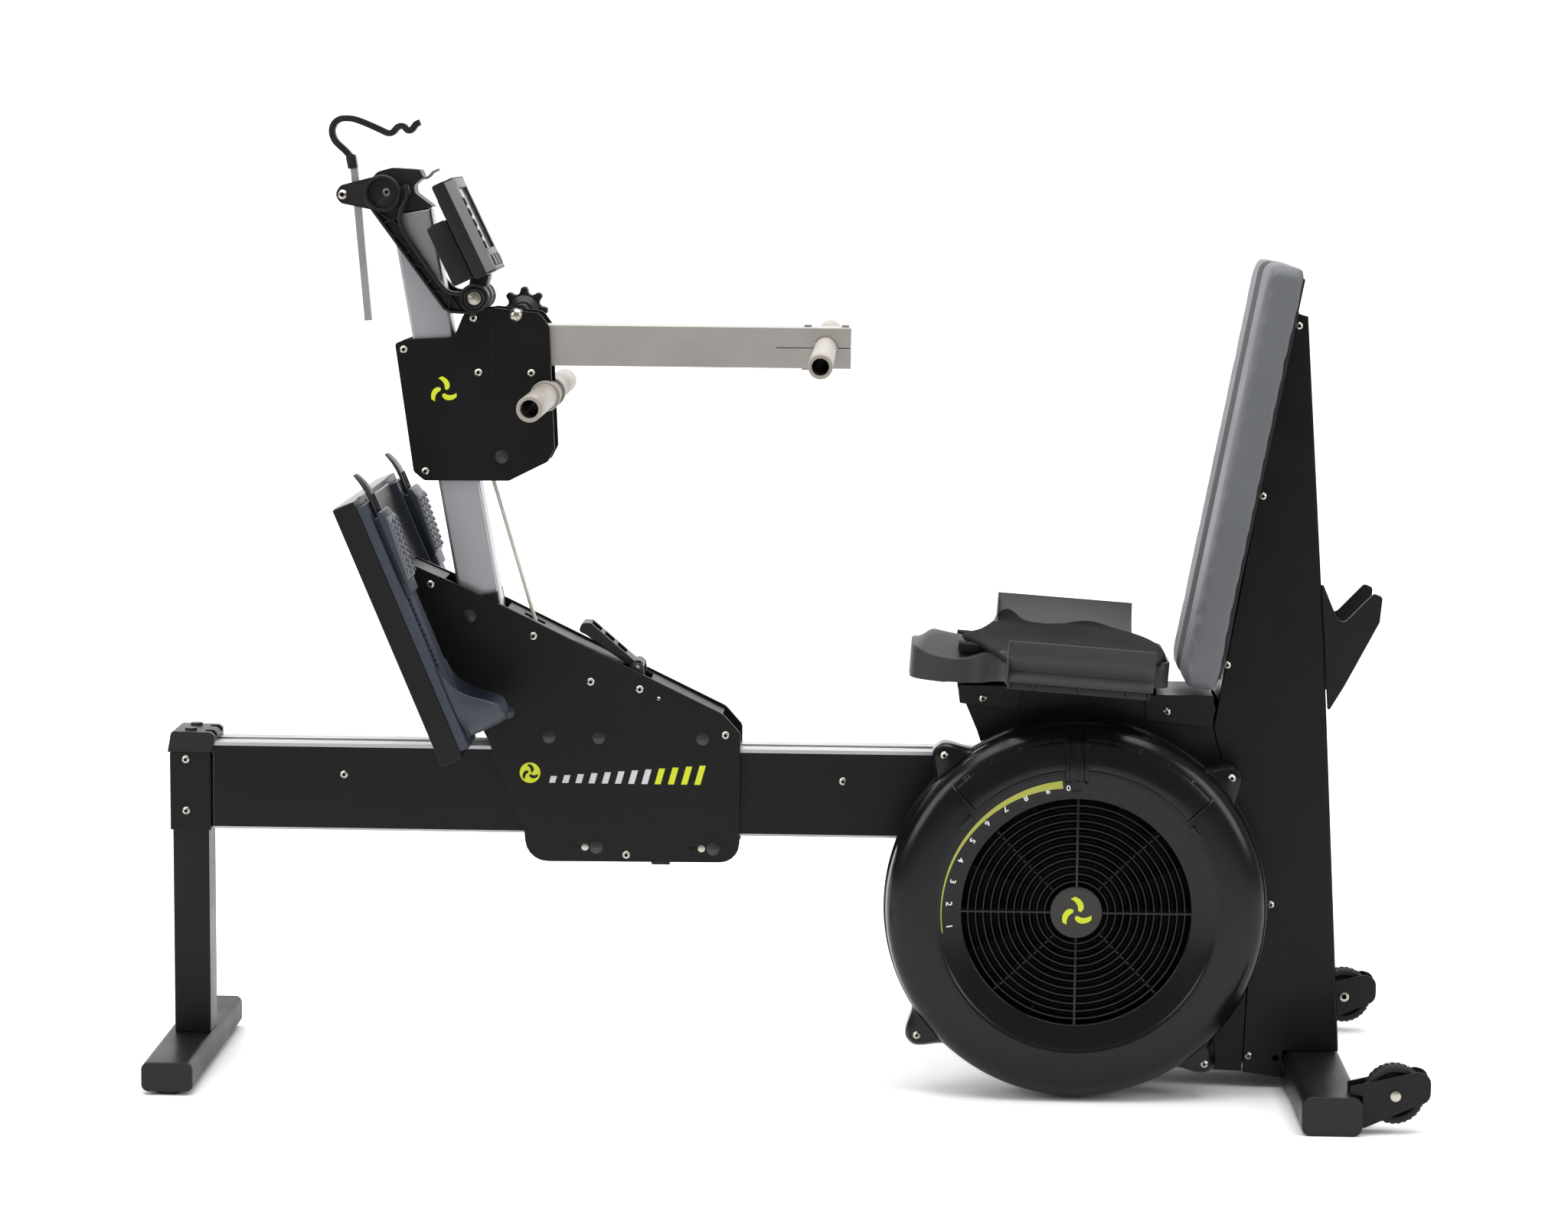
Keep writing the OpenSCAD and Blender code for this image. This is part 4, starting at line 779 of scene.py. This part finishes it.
# ---------------------------------------------------------------- fasteners
b = Sh().mat(ZINC)
for q in (-1, 1):
    for x in (-580.6, 77.9):
        b.button(x, 396.9, 33 * q, 5.4, 3, q)
    for z in (414.8, 346.2):
        b.button(-789.6, z, 38 * q, 5.4, 3, q)
    for x, z in ((657.3, 1003.6), (616.4, 783.3), (575.7, 562.2), (640.1, 246), (615.8, 43)):
        b.button(x, z, 60 * q, 5, 2.8, q)
    for x, z in ((259.5, 514.5), (498.3, 500)):
        b.button(x, z, 63.3 * q, 5.4, 3, q)
    b.rod(*WHEEL, 256 * q, 290 * q, 4)
    b.rod(*WHEEL, 290 * q, 293.4 * q, 7, 1.2)
    b.rod(*WHEEL, 259 * q, 256 * q, 7, 1)
for a in LUGS:
    x, z = FX + 264 * cos(radians(a)), FZ + 264 * sin(radians(a))
    b.button(x, z, -130.6, 5.2, 3, -1)
b.done("frame_bolts_shown", "frame", "fasteners", ("frame_bolts",), 40)

b = Sh().mat(ZINC)
PINS = ((-465, 652), (-330, 585.5), (-254.4, 526), (-190, 517), (-76.8, 457.5), (-206.7, 296))
for x, z in PINS:
    b.rod(x, z, -36, 36, 6)
    for q in (-1, 1):
        b.button(x, z, PLATE * q, 5.4, 3, q)
for q in (-1, 1):
    b.button(-165, 505, PLATE * q, 2.6, 1.8, q)
    b.button(-580.4, 1157.9, 22 * q, 6.5, 4, q)
    b.button(-504, 1113, 23 * q, 4.6, 2.6, q)
    for x in (-246.2, -92.4):
        b.rod(x - 15, 305.5, 36 * q, 41.6 * q, 4.8, 0.5)
b.rod(-517.7, 1163.6, -10, -22, 6, 1)
b.rod(-194, 545, -29, 29, 3)
b.mat(BLKBOLT)
for x, z, r, k in ((-309, 451.8, 6.6, 5), (-243.5, 451.8, 6.6, 5), (-106.9, 451.8, 6.6, 5),
                   (-246.2, 305.5, 6.8, 5.4), (-92.4, 305.5, 6.8, 5.4), (-363, 484, 6.6, 4),
                   (-414.2, 610.6, 7, 4.4)):
    if x != -363:  # this one is a short screw
        b.rod(x, z, -PLATE, PLATE, 5)
    for q in (-1, 1):
        b.hexhead(x, z, PLATE * q, r, k, q)
        b.rod(x, z, (PLATE + k) * q, (PLATE + k + 0.3) * q, r * 0.5, 0.2)
for q in (-1, 1):
    b.prism(rp([(-206, 535, 1), (-184, 529, 1), (-186, 548, 5), (-201, 551, 5)]), 23 * q, 28 * q, 0.8)
b.done("carriage_bolts_shown", "carriage", "fasteners", ("carriage_fasteners",), 40)

b = Sh().mat(ZINC)
for x, z in ((-500.5, 958.5), (-409.6, 1000.2), (-403.1, 929.6), (-334.1, 929.6), (-472.6, 799.6)):
    b.rod(x, z, -26.5, 26.5, 5)
    for q in (-1, 1):
        b.button(x, z, CHEEK * q, 5.2, 2.8, q)
b.rod(*KNOB, -CHEEK, CHEEK, 4.5)
b.rev([(0, -38.6), (3, -38.4), (6, -37.2), (8.2, -34.8), (9, -32), (9, -30.5)], -353.7, 1004.3, 40)
b.mat(BLKBOLT)
b.rod(*SHEAVE, -CHEEK, CHEEK, 5)
b.rev([(5, -7), (12.5, -7), (12.5, -5.5), (9.4, -2), (9.4, 2), (12.5, 5.5), (12.5, 7), (5, 7)], *SHEAVE, 48)
for q in (-1, 1):
    b.hexhead(*SHEAVE, CHEEK * q, 6.8, 4.6, q)
b.mat(PLAST)
b.T = MAST
for z in (212, 340):
    for q in (-1, 1):
        x0, x1 = sorted((q * 26.9, q * 34.9))
        b.box((x0, -26.4, z), (x1, 26.4, z + 9), 0.8)
b.done("head_bolts_shown", "head", "fasteners", ("head_fasteners",), 40)

# ---------------------------------------------------------------- handles, knob, casters
h = Sh().mat(ANODT)
L, R = 262, 16.5
pr = [(11.5, -L), (15.2, -L), (16.1, -L + 0.5), (16.5, -L + 1.6), (16.5, -L + 116), (16.1, -L + 117),
      (16.1, -46)]
pr += [(16.5, -45), (19.2, -45), (20, -44), (20, -31.4), (19.4, -30.6), (16.5, -30.6), (16.5, 0)]
h.rev(pr + [(r, -y) for r, y in reversed(pr[:-1])], *ROW, 64)
h.done("row_handle_shown", "head", "anodised_tube", ("row_handle",), 40)
h = Sh().mat(ANODT)
L = 400
pr = [(10.5, -L), (13.8, -L), (14.7, -L + 0.5), (15, -L + 1.6), (15, -L + 150), (14.7, -L + 151),
      (14.7, -25), (14.7, 25)]
pr += [(14.7, L - 151), (15, L - 150), (15, L - 1.6), (14.7, L - 0.5), (13.8, L), (10.5, L)]
h.rev(pr, *PRESS, 64)
h.done("press_handle_shown", "press", "anodised_tube", ("press_handle",), 40)

k = Sh().mat(PLAST)
o = []
for t in range(0, 360, 3):  # eight lobes
    u = cos(8 * radians(t))
    u = 27 + 4.4 * (abs(u) ** 0.45) * (1 if u > 0 else -1)
    o.append((KNOB[0] + u * cos(radians(t)), KNOB[1] + u * sin(radians(t))))
k.prism(o, 75, 95, 3.2, 3)
k.rev([(0, 96.5), (14, 96.5), (16, 95.4), (16.6, 94), (0, 94)], *KNOB, 48)
k.rod(*KNOB, 30.8, 77, 10, 1.2)
k.rev([(12, 66), (20, 74), (20, 76), (0, 76), (0, 66)], *KNOB, 48)
k.done("clamp_knob_shown", "knob", "black_plastic", ("clamp_knob",), 40)

for q, nm in ((-1, "near"), (1, "far")):
    w = Sh().mat(RUBBER)
    y = 274.5 * q
    w.rev([(29, y - 9), (31, y - 10), (35.4, y - 10), (36.9, y - 8.6), (37.1, y - 6), (37.1, y + 6),
           (36.9, y + 8.6), (35.4, y + 10), (31, y + 10), (29, y + 9)], *WHEEL, 72)
    for i in range(30):
        w.rev([(36.4, y - 8.4), (38, y - 7.6), (38.2, y - 1.2), (36.4, y - 1.2)], *WHEEL, 2, i * 12,
              i * 12 + 7.4)
        w.rev([(36.4, y + 1.2), (38.2, y + 1.2), (38, y + 7.6), (36.4, y + 8.4)], *WHEEL, 2, i * 12 + 6,
              i * 12 + 13.4)
    w.mat(PLAST)
    w.rev([(4.1, y - 11.6), (11, y - 11.6), (12, y - 10.6), (12, y - 6), (26, y - 5), (29.6, y - 9),
           (29.6, y + 9), (26, y + 5), (12, y + 6), (12, y + 10.6), (11, y + 11.6), (4.1, y + 11.6)],
           *WHEEL, 64)
    w.done("caster_wheel_%s_shown" % nm, "wheel_" + nm, "rubber", ("caster_wheel_" + nm,), 40)

# ---------------------------------------------------------------- generic printed signs
PRINT = PLATE + 0.35
e = Sh().mat(LIME)
swirl(e, -448.8, 905, -30.55, 19)
e.done("head_sign", "head", "black_steel")
e = Sh().mat(LIME)
e.rev([(0, -PLATE), (0, -PRINT), (13.6, -PRINT), (13.6, -PLATE)], *SIGN, 48)
e.mat(RAILBLK)
swirl(e, *SIGN, -41.3, 11.5)
e.mat(GREYP)
for i in range(12):
    if i == 8:
        e.mat(LIME)
    x, ht = -309 + 17.4 * i, 9 + 1.5 * i
    e.prism([(x, 391), (x + 8, 391), (x + 8 + ht * 0.28, 391 + ht), (x + ht * 0.28, 391 + ht)], -PLATE,
            -PRINT, 0)
e.done("carriage_sign", "carriage", "black_steel")

# ---------------------------------------------------------------- foot rests
def ribbon(path, t):
    """Outline of a strip of thickness t along the path."""
    P = [Vector(p) for p in path]
    a, b2 = [], []
    for i, p in enumerate(P):
        d = (P[min(i + 1, len(P) - 1)] - P[max(i - 1, 0)]).normalized()
        nrm = Vector((-d.y, d.x)) * (t / 2)
        a.append(tuple(p + nrm))
        b2.append(tuple(p - nrm))
    return a + b2[::-1]


for q, nm in ((-1, "near"), (1, "far")):
    T = Matrix.Translation((0, 154 * q, 0)) @ BRD
    g = Sh(T).mat(FOOTP)
    g.prism(rp([(26.6, 38, 2), (35.6, 40, 3), (38.6, 118, 4), (36.4, 147, 5), (26.6, 147, 3)]), -33, 33, 2,
            3)
    g.prism(rp([(27.4, -158, 1), (31.5, -156, 1), (31.5, 44, 1), (27.4, 44, 1)]), -30, 30, 0.7)
    g.box((22.6, -29, -100), (27.6, 29, 60), 0.8)
    for i in range(22):
        z = -104 + 7 * i
        for y in (-31.6, 29.2):
            g.prism([(25.4, z), (30.6, z + 1), (30.6, z + 3.4), (25.4, z + 4.4)], y, y + 2.4, 0.3)
    # heel cup: a wall bent round the heel, lowest at the front
    path = [(40, -58 - 6 * i) for i in range(10)] + [(40 * cos(radians(a)),
        -116 - 40 * sin(radians(a))) for a in range(8, 173, 8)]
    path += [(-40, -58 - 6 * i) for i in range(9, -1, -1)]
    hs = [(-58, 30.5), (-74, 32), (-90, 38), (-104, 49), (-116, 63), (-126, 76), (-134, 82.5), (-146, 84),
          (-156, 82)]

    def hx(z):
        """Height of the heel cup's edge at z."""
        for (za, xa), (zb, xb) in zip(hs, hs[1:]):
            if z >= zb:
                t = (za - z) / (za - zb)
                t = min(1, max(0, t))
                return xa + (xb - xa) * t
        return hs[-1][1]

    v, K = [], 9
    for i, (y, z) in enumerate(path):
        a, nxt = Vector(path[max(i - 1, 0)]), Vector(path[min(i + 1, len(path) - 1)])
        d = (nxt - a).normalized()
        nrm = Vector((-d.y, d.x))
        top = hx(z)
        for j in range(K):
            t = j / (K - 1)
            x = 28.5 + (top - 28.5) * t
            fl = 5.5 * t ** 2.2 * min(1, (top - 28) / 30)
            lean = 2.2 - fl - 2.2 * (1 - t)
            v.append((x, y + nrm.x * lean, z + nrm.y * lean))
        for j in range(K - 1, -1, -1):
            t = j / (K - 1)
            x = 28.5 + (top - 28.5) * t - (0.6 if j == K - 1 else 0)
            fl = 5.5 * t ** 2.2 * min(1, (top - 28) / 30)
            lean = 5.4 - fl - 2.2 * (1 - t)
            v.append((x, y + nrm.x * lean, z + nrm.y * lean))
    M = 2 * K
    g.add(v, loft(len(path), M) + [tuple(range(M)), tuple(range((len(path) - 1) * M, len(path) * M))])
    g.tube([(34 + 6 * i, 0, -118 - 34 * sin(0.3 + i * 0.16)) for i in range(7)], 2.4, 8)
    g.prism(rp([(33, 52, 1), (37.6, 60, 4), (43.6, 140, 5), (40.6, 152, 6), (34, 153, 4)]), -38, 38, 2.2, 3)
    g.mat(TOEP)
    g.prism([(36.4, 58), (39.2, 59), (45.2, 141), (42.4, 142)], -35, 35, 1)
    for i in range(9):
        z = 64 + 8.6 * i
        x = 39.3 + (z - 58) * 0.074
        for s0, s1 in ((-33, -3), (3, 33)):
            g.tube([(x + 0.9, s0 + (s1 - s0) * t / 8, z + 6.5 * sin(pi * t / 8)) for t in range(9)], 1.9, 8)
    g.mat(DARKP)
    tab = [(29.6, 142), (30.6, 158), (31, 170), (30.4, 182), (28.2, 193), (24.6, 203), (22.6, 207)]
    wd = [19, 19, 19, 18.4, 17, 13, 8]
    v = []
    for (x, z), w in zip(tab, wd):
        v += [(x - 2, -w, z), (x - 2, w, z), (x + 1.2, w + 0.6, z), (x + 2, w - 1, z), (x + 2, -w + 1, z),
              (x + 1.2, -w - 0.6, z)]
    g.add(v, loft(len(tab), 6) + [tuple(range(6)), tuple(range(6 * len(tab) - 6, 6 * len(tab)))], 0.5, 2)
    for y in (-8, 8):
        g.box((30, y - 1.2, 152), (35, y + 1.2, 176), 0.8)
        g.box((29, y - 5, 155), (34.2, y + 5, 158), 0.6)
    # near-black patches on the tab are painted shade standing in for its slots
    g.mat(PAINTED_SHADE)
    for y in (-4, 4):
        g.box((31, y - 2, 160), (33.35, y + 2, 172), 0.5)
    g.done("foot_slide_%s_shown" % nm, "foot_" + nm, "foot_plastic", ("foot_slide_" + nm,), 42)
# pale face panel on the footboard and the lip of its back
a = Sh(BRD).mat(FACE)
a.box((14.4, -101, -141), (17.4, 101, 171), 0.8)
a.box((-12.5, -199, 176.4), (15.5, 199, 178.4), 0.9)
a.done("footboard_face_shown", "carriage", "black_plastic")

# ---------------------------------------------------------------- monitor, its arm and the mast head
sr = [(-495.2, 1172), (-493.6, 1163), (-494.3, 1155), (-498.6, 1146), (-502.6, 1138), (-504.2, 1128),
      (-501.6, 1116), (-497, 1108), (-487.5, 1094), (-478, 1080), (-468, 1066), (-458.7, 1053.5),
      (-451, 1043), (-445, 1036.6), (-438, 1032.8), (-430, 1031.8), (-421, 1032)]
lf = [(-542, 1143), (-446, 1013), (-438, 1008.6), (-428, 1007.8), (-404, 1007.6)]
m = Sh().mat(PLAST)
for q in (-1, 1):
    web = sr + [(-410, 1030), (-404, 1009)] + lf[:0:-1] + [(-540, 1143), (-520, 1160)]
    m.prism(web, 33 * q, 37 * q, 0.5)
    m.prism(ribbon(sr, 5.2), 33 * q, 46 * q, 1.2)
    m.prism(ribbon(lf, 3.4), 33 * q, 46 * q, 1)
    for p0, p1 in (((-534, 1137), (-505, 1120)), ((-526, 1121), (-503, 1131)), ((-520, 1112), (-482, 1088)),
                   ((-498, 1082), (-484, 1090)), ((-492, 1073), (-462, 1060)), ((-470, 1044), (-458, 1054)),
                   ((-464, 1036), (-441, 1034)), ((-441, 1010), (-437, 1032)),
                   ((-441, 1034), (-426, 1012))):
        m.prism(ribbon([p0, p1], 1.6), 36 * q, 43.6 * q, 0.4)
    m.rev([(19.4, 22.4 * q), (19.4, 45 * q), (20.2, 46 * q), (23, 46 * q), (24, 45 * q), (24, 33 * q),
           (12, 32 * q), (12, 22.4 * q)], *HUB, 64)
    m.rev([(0, 32 * q), (0, 35.4 * q), (19.6, 35.4 * q), (19.6, 32 * q)], *HUB, 48)
    m.rev([(5.4, 32.2 * q), (5.4, 44 * q), (10, 44 * q), (10, 47 * q), (12, 47.6 * q), (13.4, 46.6 * q),
           (13.4, 44.6 * q), (16, 44.6 * q), (16.2, 47.2 * q), (18, 48 * q), (19, 47 * q), (19, 32.2 * q)],
           *PIVOT, 64)
m.mat(ZINC)
m.rod(*PIVOT, -50, 50, 5)
m.hexhead(*PIVOT, -44.5, 6.8, 7.5, -1)
m.rod(*PIVOT, -52, -54, 4.2, 0.6)
m.hexhead(*PIVOT, 44.5, 6.8, 7.5, 1)
m.button(-521, 1162, -35.4, 6.2, 4, -1)
m.button(-521, 1162, 35.4, 6.2, 4, 1)
m.done("monitor_link_shown", "mon_arm", "black_plastic", ("monitor_link",), 40)

m = Sh(MON).mat(PLAST)
m.prism(rp([(-14, -62, 5), (3, -62, 1), (3, 70, 1), (-14, 70, 4)]), -80, 40, 1.6, 3)
m.box((2, -76, -58), (9.2, 36, 66), 0.5)
m.prism(rp([(-15.4, -58, 0), (-44, -58, 4), (-44, 24, 4), (-15.4, 24, 0)]), -72, -47.4, 1.6, 3)
m.box((-26, -72.5, -55), (-24.6, -47, 24.5), 0.3)
m.box((-38, -72.4, 20), (-20, -48, 25.2), 0.8)
m.box((-15.8, -70, -50), (-13.8, 34, 50), 0.8)
m.T = Matrix()
m.rev([(5.4, -31.4), (10, -31.4), (10.6, -30.6), (10.6, 30.6), (10, 31.4), (5.4, 31.4)], *PIVOT, 48)
m.prism(rp([(-418, 1034, 2), (-397, 1029, 3), (-390, 1054, 3), (-398, 1060, 2), (-412, 1062, 3)]), -24, 24,
        1.2, 2)
m.mat(BEZEL)
m.rev([(10.8, 12), (17, 12), (18, 13), (18, 29), (17, 30), (10.8, 30)], *PIVOT, 48)
m.mat(GLASS)
m.T = MON
m.box((12.4, -66, -31), (13.2, 28, 54), 0.3)
m.mat(PLAST)
for y0, y1, z0, z1 in ((-66.5, 28.5, 54, 55.6), (-66.5, 28.5, -32.6, -31), (-67, -65.4, -32, 55),
                       (27.4, 29, -32, 55)):
    m.box((12.6, y0, z0), (15.4, y1, z1), 0.3)
m.done("monitor_body_shown", "monitor", "black_plastic", ("monitor_body",), 40)

z = Sh(MON).mat(BEZEL)
bars = [((9.3, -79.4, -61.4), (16, 39.4, -55.6)), ((9.3, -79.4, -40.4), (16, 39.4, -32)),
        ((9.3, -79.4, 55), (16, 39.4, 69.4)),
      ((9.3, 29, -61.4), (16, 39.4, 69.4)), ((9.3, -67, -61.4), (16, -62.6, 69.4)),
      ((9.3, -79.4, 42), (16, -62, 69.4)), ((9.3, -37.4, -61.4), (16, -28.6, -32)),
      ((9.3, -3.4, -61.4), (16, 5.4, -32)), ((9.3, -62, -31), (11.8, 28, 54)),
      ((3.3, -79.6, -61.4), (16, -76.9, 69.4)), ((3.3, 36.6, -61.4), (16, 39.6, 69.4)),
      ((3.3, -79.6, 66.6), (16, 39.6, 69.6)), ((3.3, -79.6, -61.6), (16, 39.6, -58.6)),
      ((9.3, -79.4, -61.4), (16, -62.4, -32.2)), ((9.3, 30.8, -61.4), (16, 39.4, -32))]
for lo, hi in bars:
    z.box(lo, hi, 0.7)
z.done("monitor_bezel_shown", "monitor", "bezel_plastic", ("monitor_bezel",), 40)
for i in range(1, 6):
    edged("key_%d" % i, PLAST, 2.0, 3)
for i in range(1, 4):
    edged("menu_key_%d" % i, DARKP, 1.8, 3)
p = Sh().mat(BEZEL)
p.prism(ribbon([(-484, 1180.4), (-473, 1179.8), (-468.6, 1183), (-465, 1187.6), (-457, 1191.4)], 3.2), -9.6,
        9.6, 0.9)
p.done("spring_lip_shown", "carriage", "black_plastic")
h = Sh().mat(PLAST)
hp = [(-569, 1196), (-571.5, 1205), (-580, 1215), (-590, 1224), (-595, 1232), (-596.4, 1241),
      (-593.6, 1249), (-588, 1254), (-581, 1256), (-569, 1255.4), (-558, 1252), (-547, 1247.6),
      (-535, 1242.4), (-526, 1238.2), (-521, 1237.2), (-516, 1239.6), (-512, 1244.4),
      (-507, 1247), (-502, 1245.6), (-498.6, 1241.8), (-495, 1240.8), (-491, 1243.6), (-487, 1249.4),
      (-481.7, 1251.6)]
o = []
for i in range(len(hp) - 1):
    near4 = [Vector(hp[max(0, min(len(hp) - 1, i + k))]) for k in (-1, 0, 1, 2)]
    o += [spline(*near4, t) for t in (0, 0.5)]
h.prism(ribbon(o + [Vector(hp[-1])], 8), -7, 7, 1.6, 2)
h.prism(rp([(-575.2, 1190.6, 1), (-563.2, 1191.8, 1), (-566.4, 1210.5, 3), (-578.6, 1208, 3)]), -8.4, 8.4,
        1.2, 2)
h.done("holder_hook_shown", "holder", "black_plastic", ("holder_hook",), 40)

# ---------------------------------------------------------------- floor and light
fb = bmesh.new()
prof = [(-9.0, 0.0)] + [(3.2 + 2.2 * sin(radians(a)), 2.2 - 2.2 * cos(radians(a))) for a in range(0, 91,
    6)] + [(5.4, 9.0)]
rows = [[fb.verts.new((x, y, z)) for x in (-14, 14)] for y, z in prof]
for a, b in zip(rows, rows[1:]):
    fb.faces.new((a[0], a[1], b[1], b[0]))
fm = bpy.data.meshes.new("floor")
fb.to_mesh(fm)
floor = new_object("floor", fm)
fm.shade_smooth()
fmat = paint("studio_floor", (250, 250, 250), 0.85, grain=40, bump=0.0, vary=0.004, spec=0.05, blotch=1)
fm.materials.append(fmat)

w = bpy.data.worlds.new("studio")
SC.world = w
w.use_nodes = True
w.node_tree.nodes["Background"].inputs[0].default_value = (1, 1, 1, 1)
w.node_tree.nodes["Background"].inputs[1].default_value = 0.34


def area(name, loc, aim, size, power):
    d = bpy.data.lights.new(name, "AREA")
    d.shape, d.size, d.size_y, d.energy = "RECTANGLE", size[0], size[1], power
    o = new_object(name, d)
    o.location = loc
    o.rotation_euler = (Vector(aim) - Vector(loc)).to_track_quat("-Z", "Y").to_euler()


area("top_soft", (0.0, -0.3, 3.6), (0, 0.1, 0), (4.5, 3.2), 190)
area("left_soft", (-3.4, -2.2, 2.4), (0, 0, 0.7), (2.0, 2.4), 70)
area("right_soft", (3.6, -1.6, 2.0), (0.3, 0, 0.6), (1.6, 2.2), 55)
area("back_wash", (0.0, 2.6, 3.8), (0, 4.6, 0.8), (7.0, 1.5), 160)
SC.view_settings.view_transform = "Standard"
SC.view_settings.look = "None"
SC.view_settings.exposure = 0.0

bpy.context.view_layer.update()
